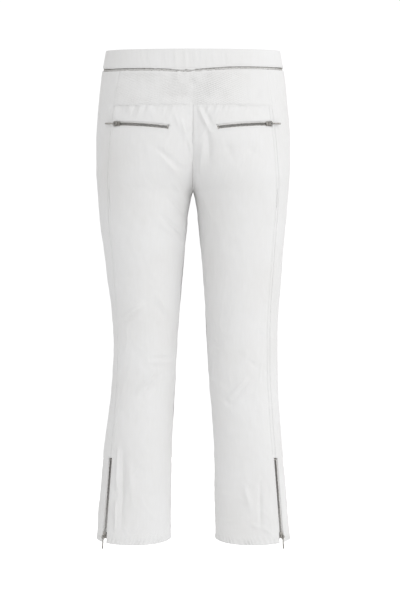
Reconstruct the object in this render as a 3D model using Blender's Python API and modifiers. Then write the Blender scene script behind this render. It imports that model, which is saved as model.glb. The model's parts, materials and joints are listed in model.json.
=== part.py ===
"""Slim white ski pants with metal zips: an assembly of cut cloth panels, zips and a press stud.

Frame: the origin is the middle of the waist opening, level with the waistband's top edge.
+Z is up, +X is the wearer's right and +Y is the wearer's front, so the seat faces -Y.
Each leg and its half of the hips is one oval section that changes with height. Where the two
ovals cross the middle plane they are cut there, which makes the seat seam and the crotch.
"""

import math

import bmesh
import bpy
import numpy as np
from mathutils import Matrix, Vector

MM = 0.001

# The body that the cloth is cut for, by height below the top edge of the waistband.
# Each row is the height, then the oval's outer and inner ends across, then its back and front.
STATIONS = (
    (0.000, 0.1670, -0.1670, -0.0940, 0.0870),
    (-0.035, 0.1733, -0.1500, -0.1020, 0.0882),
    (-0.081, 0.1790, -0.1280, -0.1140, 0.0897),
    (-0.112, 0.1815, -0.1100, -0.1205, 0.0907),
    (-0.158, 0.1855, -0.0800, -0.1260, 0.0922),
    (-0.190, 0.1862, -0.0580, -0.1255, 0.0918),
    (-0.220, 0.1862, -0.0340, -0.1210, 0.0895),
    (-0.250, 0.1846, -0.0125, -0.1140, 0.0865),
    (-0.270, 0.1832, 0.0000, -0.1080, 0.0845),
    (-0.330, 0.1780, 0.0100, -0.0955, 0.0780),
    (-0.450, 0.1668, 0.0212, -0.0775, 0.0690),
    (-0.600, 0.1612, 0.0292, -0.0625, 0.0560),
    (-0.770, 0.1716, 0.0405, -0.0600, 0.0440),
    (-0.940, 0.1858, 0.0425, -0.0530, 0.0365),
)
HEIGHTS, OUTER, INNER, BACK, FRONT = zip(*STATIONS)
CROTCH = -0.270
SEAM_ANGLE = math.radians(-38)  # the side seams sit this far round to the back

CLOTH = 1.2 * MM  # thickness of the twill
GAP = 0.5 * MM  # between pieces that are sewn edge to edge
BAND_HEIGHT = 0.0325
TRIM_HEIGHT = 0.0060  # the row of zip teeth under the waistband
YOKE_BOTTOM = -0.108
HEM = -0.936  # height of the hem at the sides
HEM_DIP = 0.011  # the hem is this much lower at the back and higher at the front
BODY_TOP = -(BAND_HEIGHT + TRIM_HEIGHT + 2 * GAP)

# The zips, all of one size.
TAPE_DEPTH = 2.8 * MM  # middle of the tape below the cloth's outer face
TAPE_HALF = 13 * MM
TAPE_THICK = 0.6 * MM
ROW_INNER, ROW_OUTER, ROW_HALF_THICK = 0.6 * MM, 2.9 * MM, 1.2 * MM
SLOT_HALF = 4.8 * MM
SLIDER_HALF_LENGTH, SLIDER_HALF_WIDTH = 6 * MM, 4.2 * MM
PLATE_LOW, PLATE_TOP = 1.5 * MM, 2.6 * MM
RING_HEIGHT = 5.2 * MM  # the ring's wire above the middle of the tape
RING_RADIUS, RING_WIRE = 3.8 * MM, 0.7 * MM
EYE_RADIUS, EYE_WIRE = 1.65 * MM, 0.5 * MM
PULL_LENGTH, PULL_RADIUS = 19 * MM, 1.8 * MM
STOP_LENGTH = 3.4 * MM
TAPE_INNER = 3.2 * MM
POST_HALF = 0.35 * MM
ROW_START = 4.5 * MM  # the rows of teeth reach this far past the middle of the slider

POCKET_OUTER = (0.1445, -0.1430)  # across and up, at the slider
POCKET_INNER = (0.0500, -0.1500)  # across and up, at the end stop
ANKLE_TOP = -0.784
ANKLE_SLIDER = -0.9275
FLY_TOP, FLY_BOTTOM = -0.0480, -0.150
FLY_DEPTH = 10.4 * MM  # middle of the fly's tape below the cloth's outer face

# The front closing of the waistband: a tab that laps over, with a press stud.
TAB_END, TAB_HINGE = -0.030, 0.030
TAB_THICK = 1.4 * MM
UNDERLAP_DEPTH, UNDERLAP_THICK = 4.4 * MM, 1.2 * MM
SNAP_X, SNAP_Z = -0.018, -0.0165

WHITE_TWILL = ((0.80, 0.80, 0.79), 0.85, 0.0)
WHITE_LINING = ((0.76, 0.76, 0.74), 0.90, 0.0)
WHITE_TAPE = ((0.74, 0.73, 0.71), 0.90, 0.0)
ELASTIC = ((0.82, 0.82, 0.80), 0.75, 0.0)
NICKEL = ((0.42, 0.40, 0.37), 0.30, 1.0)


def start_scene():
    for old in list(bpy.data.objects):
        bpy.data.objects.remove(old)
    made = []
    for name, hidden in (("ski_pants", False), ("cutters", True)):
        collection = bpy.data.collections.new(name)
        bpy.context.scene.collection.children.link(collection)
        collection.hide_render = hidden
        made.append(collection)
    return made


PARTS, CUTTERS = start_scene()


def material(name, look):
    found = bpy.data.materials.get(name)
    if found:
        return found
    made = bpy.data.materials.new(name)
    made.use_nodes = True
    shader = made.node_tree.nodes["Principled BSDF"]
    colour, roughness, metallic = look
    shader.inputs["Base Color"].default_value = (*colour, 1.0)
    shader.inputs["Roughness"].default_value = roughness
    shader.inputs["Metallic"].default_value = metallic
    return made


# ---------------------------------------------------------------- the surface of the garment


def profile(height, values):
    """The value at a height: a smooth curve through the stations, straight over the last stretch."""
    h = -np.array(HEIGHTS)
    v = np.array(values)
    slopes = np.diff(v) / np.diff(h)
    tangents = np.concatenate([[slopes[0]], (slopes[:-1] + slopes[1:]) / 2, [slopes[-1]]])
    tangents[-2] = slopes[-1]
    i = int(np.clip(np.searchsorted(h, -height) - 1, 0, len(h) - 2))
    span = h[i + 1] - h[i]
    s = (-height - h[i]) / span
    if s < 0 or s > 1:
        return float(v[i] + slopes[i] * s * span)
    return float(
        v[i] * (1 + 2 * s) * (1 - s) ** 2
        + tangents[i] * span * s * (1 - s) ** 2
        + v[i + 1] * s * s * (3 - 2 * s)
        + tangents[i + 1] * span * s * s * (s - 1)
    )


def section(height):
    """The oval at a height: its middle across, half width, middle front to back, half depth."""
    outer, inner = profile(height, OUTER), profile(height, INNER)
    back, front = profile(height, BACK), profile(height, FRONT)
    return (outer + inner) / 2, (outer - inner) / 2, (front + back) / 2, (front - back) / 2


def skin(side, angle, height, depth=0.0):
    """A point of the cloth. The angle is 0 at the outer side, negative towards the seat."""
    cx, a, cy, b = section(height)
    across, along = b * math.cos(angle), a * math.sin(angle)
    size = math.hypot(across, along)
    x = cx + a * math.cos(angle) - depth * across / size
    y = cy + b * math.sin(angle) - depth * along / size
    return Vector((side * x, y, height))


def outward(side, angle, height):
    step = 0.5 * MM
    turn = 0.002
    along = skin(side, angle + turn, height) - skin(side, angle - turn, height)
    up = skin(side, angle, height + step) - skin(side, angle, height - step)
    return (along.cross(up) * side).normalized()


def speed(angle, height):
    """Distance along the oval for each radian of angle."""
    _, a, _, b = section(height)
    return math.hypot(a * math.sin(angle), b * math.cos(angle))


def middle_angle(height, clear=GAP / 2):
    """How far round the oval reaches before the middle plane or, below the crotch, the inseam."""
    cx, a, _, _ = section(height)
    if cx - a >= clear:
        return math.pi - clear / speed(math.pi, height)
    return math.acos(max(-1.0, min(1.0, (clear - cx) / a)))


def angle_at(x, height):
    """The angle, 0 to pi, where the oval is x from the middle plane."""
    cx, a, _, _ = section(height)
    return math.acos(max(-1.0, min(1.0, (x - cx) / a)))


def hem_height(angle):
    return HEM + HEM_DIP * math.sin(angle)


# ---------------------------------------------------------------- turning points into solids


def add_object(name, mesh, look_name, look, collection=PARTS):
    made = bpy.data.objects.new(name, mesh)
    collection.objects.link(made)
    if collection is CUTTERS:
        made.display_type = "WIRE"
        made.hide_render = True
    else:
        made.data.materials.append(material(look_name, look))
        mesh.shade_smooth()
        mesh.set_sharp_from_angle(angle=math.radians(35))
    return made


def apply_modifiers(made):
    """Replaces the object's mesh with what its modifiers make of it."""
    graph = bpy.context.evaluated_depsgraph_get()
    mesh = bpy.data.meshes.new_from_object(made.evaluated_get(graph))
    made.modifiers.clear()
    made.data = mesh
    return made


def grid_mesh(name, rows, keep=lambda row, column: True):
    """An open surface over rows of points. keep says which of its squares are there."""
    mesh = bpy.data.meshes.new(name)
    build = bmesh.new()
    points = [[build.verts.new(p) for p in row] for row in rows]
    for i in range(len(points) - 1):
        for j in range(len(points[i]) - 1):
            if keep(i, j):
                build.faces.new((points[i][j], points[i][j + 1], points[i + 1][j + 1], points[i + 1][j]))
    loose = [v for v in build.verts if not v.link_faces]
    bmesh.ops.delete(build, geom=loose, context="VERTS")
    bmesh.ops.recalc_face_normals(build, faces=build.faces)
    build.to_mesh(mesh)
    build.free()
    return mesh


def face_away_from(mesh, middle):
    """Turns an open surface so that it faces away from a line of points inside the garment."""
    total = sum((f.center - middle(f.center)).dot(f.normal) * f.area for f in mesh.polygons)
    if total < 0:
        mesh.flip_normals()


def leg_middle(p):
    cx, _, cy, _ = section(p.z)
    return Vector((math.copysign(cx, p.x), cy, p.z))


def thicken(made, thickness):
    """Gives an open surface its thickness, inwards."""
    solid = made.modifiers.new("thickness", "SOLIDIFY")
    solid.thickness = thickness
    solid.offset = -1.0
    solid.use_even_offset = True
    return made


def sweep(name, rings, look_name, look, collection=PARTS):
    """A solid through rings of matching points, with both ends closed."""
    mesh = bpy.data.meshes.new(name)
    build = bmesh.new()
    loops = [[build.verts.new(p) for p in ring] for ring in rings]
    count = len(loops[0])
    for first, second in zip(loops, loops[1:]):
        for k in range(count):
            after = (k + 1) % count
            build.faces.new((first[k], first[after], second[after], second[k]))
    build.faces.new(loops[0])
    build.faces.new(loops[-1])
    bmesh.ops.recalc_face_normals(build, faces=build.faces)
    if build.calc_volume(signed=True) < 0:
        bmesh.ops.reverse_faces(build, faces=build.faces)
    build.to_mesh(mesh)
    build.free()
    return add_object(name, mesh, look_name, look, collection)


def box_mesh(name, low, high):
    mesh = bpy.data.meshes.new(name)
    build = bmesh.new()
    bmesh.ops.create_cube(build, size=1.0)
    size = Vector(high) - Vector(low)
    bmesh.ops.scale(build, vec=size, verts=build.verts)
    bmesh.ops.translate(build, vec=(Vector(low) + Vector(high)) / 2, verts=build.verts)
    build.to_mesh(mesh)
    build.free()
    return mesh


def boolean(made, cutter, operation):
    modifier = made.modifiers.new(operation.lower(), "BOOLEAN")
    modifier.operation = operation
    modifier.object = cutter
    modifier.solver = "EXACT"


# ---------------------------------------------------------------- zip tracks


class Track:
    """The line that a zip follows, straight or an arc. x runs along it from the slider's place
    when the zip is shut, positive past the end; y is across it, and z is out of the cloth."""

    def __init__(self, start, along, out, radius=None):
        self.start, self.radius = start, radius
        self.out = out.normalized()
        self.along = (along - self.out * along.dot(self.out)).normalized()
        self.across = self.out.cross(self.along)

    def frame(self, x):
        """The 4x4 frame of the track at distance x."""
        turn = Matrix.Rotation(x / self.radius, 3, self.across) if self.radius else Matrix.Identity(3)
        if self.radius:
            centre = self.start - self.out * self.radius
            place = centre + turn @ (self.start - centre)
        else:
            place = self.start + self.along * x
        columns = [turn @ v for v in (self.along, self.across, self.out)]
        return Matrix.Translation(place) @ Matrix(columns).transposed().to_4x4()

    def at(self, x, y, z):
        return self.frame(x) @ Vector((0.0, y, z))


def straight_track(start, end):
    """A track from two places of the skin, each (side, angle, height)."""
    first, last = skin(*start), skin(*end)
    out = (outward(*start) + outward(*end)) / 2
    return Track(first - out.normalized() * TAPE_DEPTH, first - last, out)


def pocket_line(side, share):
    """Angle and height of the pocket's slit, from its outer end at 0 to its inner end at 1."""
    outer_angle = -angle_at(POCKET_OUTER[0], POCKET_OUTER[1])
    inner_angle = -angle_at(POCKET_INNER[0], POCKET_INNER[1])
    angle = outer_angle + (inner_angle - outer_angle) * share
    return angle, POCKET_OUTER[1] + (POCKET_INNER[1] - POCKET_OUTER[1]) * share


def arc_track(side):
    """The pocket's track: the circle through the slit's two ends and its middle, in the plane
    that stands square to the cloth there."""
    first, last = (skin(side, *pocket_line(side, share)) for share in (0.0, 1.0))
    angle, height = pocket_line(side, 0.5)
    chord = (first - last).normalized()
    up = (skin(side, angle, height + MM) - skin(side, angle, height - MM)).normalized()
    up = (up - chord * up.dot(chord)).normalized()
    for _ in range(8):
        height -= (skin(side, angle, height) - first).dot(up)
    middle = skin(side, angle, height)
    ab, ac = middle - first, last - first
    normal = ab.cross(ac)
    to_centre = (normal.cross(ab) * ac.length_squared + ac.cross(normal) * ab.length_squared)
    centre = first + to_centre / (2 * normal.length_squared)
    out = (first - centre).normalized()
    radius = (first - centre).length - TAPE_DEPTH
    return Track(centre + out * radius, first - last, out, radius)


def pocket_length(side):
    """Length along the arc from the slider to the stop."""
    track = arc_track(side)
    centre = track.start - track.out * track.radius
    last = skin(side, *pocket_line(side, 1.0))
    return track.radius * track.out.angle(last - centre)


# ---------------------------------------------------------------- zip pieces


def zip_row(name, track, start, end, sign, steps):
    """One row of teeth, as the strip that its clenched teeth fill."""
    corners = (
        (ROW_INNER, -ROW_HALF_THICK), (ROW_OUTER, -ROW_HALF_THICK),
        (ROW_OUTER, ROW_HALF_THICK), (ROW_INNER, ROW_HALF_THICK),
    )
    rings = [[track.at(x, sign * y, z) for y, z in corners] for x in np.linspace(start, end, steps)]
    return sweep(name, rings, "zip_metal", NICKEL)


def drop_to_skin(p, depth):
    """The place that far under the cloth's face, level with the point."""
    cx, a, cy, b = section(p.z)
    angle = math.atan2((p.y - cy) / b, (abs(p.x) - cx) / a)
    return skin(math.copysign(1, p.x), angle, p.z, depth)


def zip_tape(name, track, start, stop, end, steps, on_skin=True):
    """Both tapes of a zip, which are one piece past its stop. Each inner edge lies by the teeth,
    and the outer edges follow the cloth."""
    depth = TAPE_DEPTH - TAPE_THICK / 2
    places = list(np.linspace(start, stop, steps)) + [end]
    rows = []
    for x in places:
        row = []
        for y in (-TAPE_HALF, -TAPE_INNER, TAPE_INNER, TAPE_HALF):
            p = track.at(x, y, TAPE_THICK / 2)
            row.append(drop_to_skin(p, depth) if on_skin and abs(y) == TAPE_HALF else p)
        rows.append(row)
    mesh = grid_mesh(name, rows, keep=lambda i, j: j != 1 or i == len(rows) - 2)
    facing = sum(f.normal.dot(track.out) * f.area for f in mesh.polygons)
    if facing < 0:
        mesh.flip_normals()
    return thicken(add_object(name, mesh, "zip_tape", WHITE_TAPE), TAPE_THICK)


def stop_block(name, track, x):
    """The metal staple that holds the two rows at the zip's far end."""
    half, rise = ROW_OUTER, 1.6 * MM
    made = add_object(
        name, box_mesh(name, (-STOP_LENGTH / 2, -half, -rise), (STOP_LENGTH / 2, half, rise)),
        "zip_metal", NICKEL,
    )
    made.matrix_world = track.frame(x)
    bevel = made.modifiers.new("rounded", "BEVEL")
    bevel.width = 0.4 * MM
    bevel.segments = 1
    return made


def slider_plate(name, sign):
    """Half of the slider: a plate whose long edges turn in over the teeth."""
    w, flange = SLIDER_HALF_WIDTH, 3.3 * MM
    low, high, lip = sign * PLATE_LOW, sign * PLATE_TOP, sign * 0.65 * MM
    outline = (
        (-w, lip), (-flange, lip), (-flange, low), (flange, low),
        (flange, lip), (w, lip), (w, high), (-w, high),
    )
    rings = [
        [Vector((x, y, z)) for y, z in outline]
        for x in (-SLIDER_HALF_LENGTH, SLIDER_HALF_LENGTH)
    ]
    return sweep(name, rings, "zip_metal", NICKEL, CUTTERS)


def bail(name):
    """The arch on the slider that the ring hangs in."""
    curve = bpy.data.curves.new(name, "CURVE")
    curve.dimensions = "3D"
    curve.bevel_depth = 0.55 * MM
    curve.bevel_resolution = 1
    curve.use_fill_caps = True
    line = curve.splines.new("POLY")
    steps = 8
    foot = PLATE_TOP - 0.4 * MM
    rise = RING_HEIGHT + RING_WIRE + 1.1 * MM - foot
    line.points.add(steps)
    for k, point in enumerate(line.points):
        turn = math.pi * k / steps
        point.co = (2.4 * MM * math.cos(turn), 0.0, foot + rise * math.sin(turn) ** 0.7, 1.0)
    arch = bpy.data.objects.new(name, curve)
    CUTTERS.objects.link(arch)
    graph = bpy.context.evaluated_depsgraph_get()
    mesh = bpy.data.meshes.new_from_object(arch.evaluated_get(graph))
    bpy.data.objects.remove(arch)
    build = bmesh.new()
    build.from_mesh(mesh)
    bmesh.ops.remove_doubles(build, verts=build.verts, dist=0.00001)
    bmesh.ops.recalc_face_normals(build, faces=build.faces)
    build.to_mesh(mesh)
    build.free()
    return add_object(name, mesh, "", None, CUTTERS)


def join_solids(name, first, others):
    """The mesh of the first solid joined with the others, which are then removed."""
    for other in others:
        boolean(first, other, "UNION")
    bpy.context.view_layer.update()
    mesh = apply_modifiers(first).data
    mesh.name = name
    mesh.materials.clear()
    for used in (first, *others):
        bpy.data.objects.remove(used)
    return mesh


def slider_mesh():
    """Top and bottom plates, the post that joins them at the nose, and the bail."""
    post = add_object(
        "slider_post",
        box_mesh(
            "slider_post",
            (3.6 * MM, -POST_HALF, -2 * MM),
            (SLIDER_HALF_LENGTH - 0.2 * MM, POST_HALF, 2 * MM),
        ),
        "", None, CUTTERS,
    )
    others = (slider_plate("slider_bottom", -1), post, bail("slider_bail"))
    return join_solids("slider", slider_plate("slider_top", 1), others)


def torus(name, radius, wire, sides, wire_sides, upright=False):
    """A ring about its own middle, flat or standing along X."""
    bpy.ops.mesh.primitive_torus_add(
        major_radius=radius, minor_radius=wire, major_segments=sides, minor_segments=wire_sides
    )
    made = bpy.context.active_object
    made.name = name
    if upright:
        made.data.transform(Matrix.Rotation(math.pi / 2, 4, "X"))
    for old in list(made.users_collection):
        old.objects.unlink(made)
    CUTTERS.objects.link(made)
    return made


def bar(name, start, end, radius, flat=1.0):
    """A turned bar along X, thicker in its middle. flat squashes it towards the cloth."""
    stations = (
        (start, 0.45), (start + 1.4 * MM, 0.75), (end - 2.5 * MM, 1.0),
        (end - 0.7 * MM, 0.9), (end, 0.55),
    )
    turns = [2 * math.pi * k / 10 for k in range(10)]
    rings = [
        [Vector((x, radius * s * math.cos(u), flat * radius * s * math.sin(u))) for u in turns]
        for x, s in stations
    ]
    return sweep(name, rings, "", None, CUTTERS)


def pull_bar_mesh():
    """The bar with an eye round the ring's wire. Its origin is the middle of the eye."""
    eye = torus("pull_eye", EYE_RADIUS, EYE_WIRE, 14, 6, upright=True)
    body = bar("pull_body", EYE_RADIUS - 0.25 * MM, PULL_LENGTH, PULL_RADIUS)
    return join_solids("pull_bar", body, (eye,))


def fly_pull_mesh():
    """A loop and a flat tongue in one piece. Its origin is where the loop hangs in the bail."""
    loop = torus("fly_loop", RING_RADIUS, RING_WIRE, 20, 8)
    loop.data.transform(Matrix.Translation((RING_RADIUS, 0, 0)))
    tongue = bar("fly_tongue", 2 * RING_RADIUS - 0.3 * MM, 18 * MM, 2.6 * MM, flat=0.35)
    return join_solids("fly_pull", tongue, (loop,))


def place_metal(name, mesh, matrix):
    made = add_object(name, mesh.copy(), "zip_metal", NICKEL)
    made.data.name = name
    made.matrix_world = matrix
    return made


def make_zip(prefix, suffix, track, travel, steps, on_skin=True):
    """Tapes, both rows of teeth, stop and slider. The slider stands at the track's start."""
    far = -(travel + SLIDER_HALF_LENGTH)
    stop_middle = far - 0.3 * MM - STOP_LENGTH / 2
    tape_end = stop_middle - STOP_LENGTH / 2 - 0.6 * MM
    zip_tape(f"{prefix}_tape{suffix}", track, ROW_START, tape_end, tape_end - 6 * MM, steps, on_skin)
    for word, sign in (("upper", 1), ("lower", -1)):
        zip_row(f"{prefix}_teeth_{word}{suffix}", track, ROW_START, far, sign, steps)
    stop_block(f"{prefix}_stop{suffix}", track, stop_middle)
    place_metal(f"{prefix}_slider{suffix}", SLIDER, track.frame(0.0))


def add_ring_pull(prefix, suffix, track):
    base = track.frame(0.0)
    ring_place = Matrix.Translation((RING_RADIUS, 0, RING_HEIGHT))
    eye_place = Matrix.Translation((2 * RING_RADIUS, 0, RING_HEIGHT))
    ring_shape = torus("ring", RING_RADIUS, RING_WIRE, 20, 8)
    place_metal(f"{prefix}_pull_ring{suffix}", ring_shape.data, base @ ring_place)
    bpy.data.objects.remove(ring_shape)
    place_metal(f"{prefix}_pull_bar{suffix}", PULL_BAR, base @ eye_place)


def slot_cutter(name, track, start, end, steps):
    """What the cloth is cut away with along a zip."""
    corners = ((-SLOT_HALF, -1 * MM), (SLOT_HALF, -1 * MM), (SLOT_HALF, 9 * MM), (-SLOT_HALF, 9 * MM))
    rings = [[track.at(x, y, z) for y, z in corners] for x in np.linspace(start, end, steps)]
    return sweep(name, rings, "", None, CUTTERS)


# ---------------------------------------------------------------- cloth pieces


def leg_heights(top):
    """Row heights from a top edge to just above the hem, close together round the crotch."""
    above = list(np.linspace(top, CROTCH + 0.035, 7))
    near = [CROTCH + 0.035 * (1 - k / 6) ** 2 for k in range(1, 7)]
    return above + near + [CROTCH - 0.004, CROTCH - 0.025] + list(np.linspace(-0.340, -0.900, 9))


def seam_edge(height, direction):
    """The side seam's angle, moved by half the gap between its two pieces."""
    return SEAM_ANGLE + direction * GAP / 2 / speed(SEAM_ANGLE, height)


def panel(name, side, top, first_angle, last_angle, columns):
    """A leg panel between two seams, from its top edge to the hem."""
    rows = []
    for height in leg_heights(top):
        angles = np.linspace(first_angle(height), last_angle(height), columns)
        rows.append([skin(side, u, height) for u in angles])
    angles = np.linspace(first_angle(HEM), last_angle(HEM), columns)
    rows.append([skin(side, u, hem_height(u)) for u in angles])
    mesh = grid_mesh(name, rows)
    face_away_from(mesh, leg_middle)
    return thicken(add_object(name, mesh, "twill", WHITE_TWILL), CLOTH)


def make_panels(word, side, ankle_slot, pocket_slot):
    back = panel(
        f"back_panel_{word}", side, YOKE_BOTTOM - GAP / 2,
        lambda h: -middle_angle(h), lambda h: seam_edge(h, -1), 12,
    )
    front = panel(
        f"front_panel_{word}", side, BODY_TOP, lambda h: seam_edge(h, 1), middle_angle, 17,
    )
    boolean(back, ankle_slot, "DIFFERENCE")
    boolean(back, pocket_slot, "DIFFERENCE")
    boolean(front, ankle_slot, "DIFFERENCE")


def round_the_back(left_angle, right_angle, count):
    """Places (side, share) from the left, round the back, to the right. A share is the part of
    the way from the outer side, 0, to the middle of the back, -1, or of the front, 1."""
    left = [(-1, s) for s in np.linspace(left_angle, -1, count)]
    right = [(1, s) for s in np.linspace(-1, right_angle, count)]
    return left + right[1:]


def share_at(x):
    """The share of the way from the outer side to the middle of the front, at the waist's edge."""
    return angle_at(abs(x), 0.0) / (math.pi / 2)


def band_point(place, height, depth):
    side, share = place
    return skin(side, share * middle_angle(height, 0.0), height, depth)


def band(name, places, outline, look_name, look):
    """A solid round the waist. The outline is the (depth, height) corners of its section."""
    rings = [[band_point(p, h, d) for d, h in outline] for p in places]
    return sweep(name, rings, look_name, look)


def strip(deep, thick, top, bottom):
    return ((deep, top), (deep + thick, top), (deep + thick, bottom), (deep, bottom))


def make_waistband():
    """The outer band folded over at the top, its facing, the elastic in its back, and the tab."""
    lip = 1.2 * MM
    inside = 4.6 * MM
    fold = (
        (0, 0), (inside, 0), (inside, -lip), (CLOTH, -lip), (CLOTH, -BAND_HEIGHT), (0, -BAND_HEIGHT),
    )
    facing = strip(3.4 * MM, 1.2 * MM, -lip - GAP, -BAND_HEIGHT)
    whole = round_the_back(share_at(TAB_END - 0.6 * MM), share_at(TAB_HINGE + GAP), 22)
    band("waistband_outer", whole, fold, "twill", WHITE_TWILL)
    band("waistband_facing", whole, facing, "lining", WHITE_LINING)
    back = round_the_back(-0.22, -0.22, 12)
    band("waist_elastic", back, strip(1.7 * MM, 1.3 * MM, -0.0040, -0.0290), "elastic", ELASTIC)

    front = [(-1, s) for s in np.linspace(share_at(TAB_END), 1, 4)]
    front += [(1, s) for s in np.linspace(1, share_at(TAB_HINGE), 4)][1:]
    low = -BAND_HEIGHT + GAP
    band("waist_tab", front, strip(0, TAB_THICK, -GAP, low), "twill", WHITE_TWILL)
    band("waist_underlap", front, strip(UNDERLAP_DEPTH, UNDERLAP_THICK, -GAP, low), "twill", WHITE_TWILL)


def make_waist_zip():
    """The row of zip teeth let into the seam under the waistband, on its tape."""
    edge = share_at(0.7 * MM)
    whole = round_the_back(edge, edge, 26)
    top = -(BAND_HEIGHT + GAP)
    teeth = strip(-0.8 * MM, 2.0 * MM, top, top - TRIM_HEIGHT)
    band("waist_zip_teeth", whole, teeth, "zip_metal", NICKEL)
    tape = strip(1.9 * MM, TAPE_THICK, top + 2 * MM, top - TRIM_HEIGHT - 2 * MM)
    inner_edge = share_at(4 * MM)
    band("waist_zip_tape", round_the_back(inner_edge, inner_edge, 26), tape, "zip_tape", WHITE_TAPE)


def make_yoke():
    """The quilted yoke between the side seams, and the backing that it is stitched through to."""
    for name, look_name, look, top, deep, thick in (
        ("back_yoke", "twill", WHITE_TWILL, BODY_TOP, 0.0, CLOTH),
        ("yoke_backing", "lining", WHITE_LINING, BODY_TOP - 3 * MM, CLOTH + GAP, 0.9 * MM),
    ):
        rows = []
        for height in np.linspace(top, YOKE_BOTTOM + GAP / 2, 6):
            edge = seam_edge(height, -1) / middle_angle(height, 0.0)
            rows.append([band_point(p, height, deep) for p in round_the_back(edge, edge, 12)])
        mesh = grid_mesh(name, rows)
        face_away_from(mesh, lambda p: Vector((0, 0, p.z)))
        thicken(add_object(name, mesh, look_name, look), thick)


def turned(name, outline, matrix):
    """A solid turned round Z from (radius, height) points that run down its outer side."""
    mesh = bpy.data.meshes.new(name)
    mesh.from_pydata([(r, 0, z) for r, z in outline], [(k, k + 1) for k in range(len(outline) - 1)], [])
    made = add_object(name, mesh, "snap_metal", NICKEL)
    made.matrix_world = matrix
    screw = made.modifiers.new("turned", "SCREW")
    screw.steps = screw.render_steps = 24
    screw.use_merge_vertices = True
    screw.merge_threshold = 0.00001
    screw.use_smooth_shade = False
    return made


def make_press_stud():
    """Cap and socket on the tab, stud and backing disc on the underlap."""
    angle = angle_at(abs(SNAP_X), SNAP_Z)
    base = skin(-1, angle, SNAP_Z)
    out = outward(-1, angle, SNAP_Z)
    turn = Vector((0, 0, 1)).rotation_difference(out).to_matrix().to_4x4()
    place = Matrix.Translation(base) @ turn
    cap = ((0, 1.7), (4.2, 1.6), (6.0, 1.2), (6.6, 0.6), (6.6, 0.3), (0, 0.3))
    socket = ((0, -1.7), (5.4, -1.7), (5.4, -2.7), (5.0, -3.1), (2.7, -3.1), (2.7, -1.9), (0, -1.9))
    stud = (
        (0, -2.2), (1.7, -2.2), (2.1, -2.6), (1.9, -3.4), (5.2, -3.4), (5.4, -4.0), (0, -4.0),
    )
    disc = ((0, -6.0), (5.6, -6.0), (5.6, -6.7), (4.8, -7.0), (0, -7.0))
    for name, outline in (
        ("snap_cap", cap), ("snap_socket", socket), ("snap_stud", stud), ("snap_disc", disc),
    ):
        turned(name, [(r * MM, z * MM) for r, z in outline], place)


def make_pocket_bag(word, side):
    """A flat bag behind the back pocket's zip, open along its top."""
    inner_x, outer_x = 0.046, 0.150
    top, bottom = -0.158, -0.250
    near, far = 7 * MM, 16 * MM
    wall = 1.0 * MM

    def block(name, grow, low_share, high_share, collection):
        rings = []
        for x in np.linspace(inner_x - grow, outer_x + grow, 7):
            ends = []
            for deep in (near - grow, far + grow):
                high = skin(side, -angle_at(x, top), top, deep)
                low = skin(side, -angle_at(x, bottom), bottom, deep)
                ends.append((high.lerp(low, high_share), high.lerp(low, low_share)))
            (near_high, near_low), (far_high, far_low) = ends
            rings.append([near_high, far_high, far_low, near_low])
        return sweep(name, rings, "lining", WHITE_LINING, collection)

    bag = block(f"back_pocket_bag_{word}", wall, 1.0, 0.0, PARTS)
    hollow = block(f"pocket_hollow_{word}", 0.0, 0.985, -0.1, CUTTERS)
    boolean(bag, hollow, "DIFFERENCE")


def make_fly():
    """The covered fly zip behind the front edges, with its facing and its shield."""
    travel = FLY_TOP - FLY_BOTTOM - SLIDER_HALF_LENGTH
    track = fly_track()
    make_zip("fly_zip", "", track, travel, 2, on_skin=False)
    lie_back = Matrix.Translation((0, 0, RING_HEIGHT)) @ Matrix.Rotation(math.pi, 4, "Z")
    place_metal("fly_zip_pull", FLY_PULL, track.frame(0.0) @ lie_back)
    reach = -(travel + 26 * MM)
    for name, low, high in (
        ("fly_facing", (reach, -36 * MM, 4.2 * MM), (5.5 * MM, -6.5 * MM, 5.2 * MM)),
        ("fly_shield", (reach, -22 * MM, -4.8 * MM), (5.5 * MM, 30 * MM, -3.6 * MM)),
    ):
        made = add_object(name, box_mesh(name, low, high), "lining", WHITE_LINING)
        made.matrix_world = track.frame(0.0)


def make_care_label():
    """A blank label hanging inside the back of the waist."""
    tops = skin(1, -middle_angle(-0.034, 0.0), -0.034, 0.0)
    mesh = box_mesh("care_label", (-14 * MM, 5.4 * MM, -48 * MM), (14 * MM, 5.8 * MM, 0))
    made = add_object("care_label", mesh, "lining", WHITE_LINING)
    made.location = tops
    made.rotation_euler = (math.radians(8), 0, 0)


# ---------------------------------------------------------------- tracks of the zips


def middle_of_front(height):
    return skin(1, middle_angle(height, 0.0), height)


def fly_track():
    top, bottom = middle_of_front(FLY_TOP), middle_of_front(FLY_BOTTOM)
    out = (top - bottom).cross(Vector((1, 0, 0))).normalized()
    if out.y < 0:
        out = -out
    return Track(top - out * FLY_DEPTH, top - bottom, out)


def ankle_track(side):
    return straight_track((side, SEAM_ANGLE, ANKLE_SLIDER), (side, SEAM_ANGLE, ANKLE_TOP))


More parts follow.
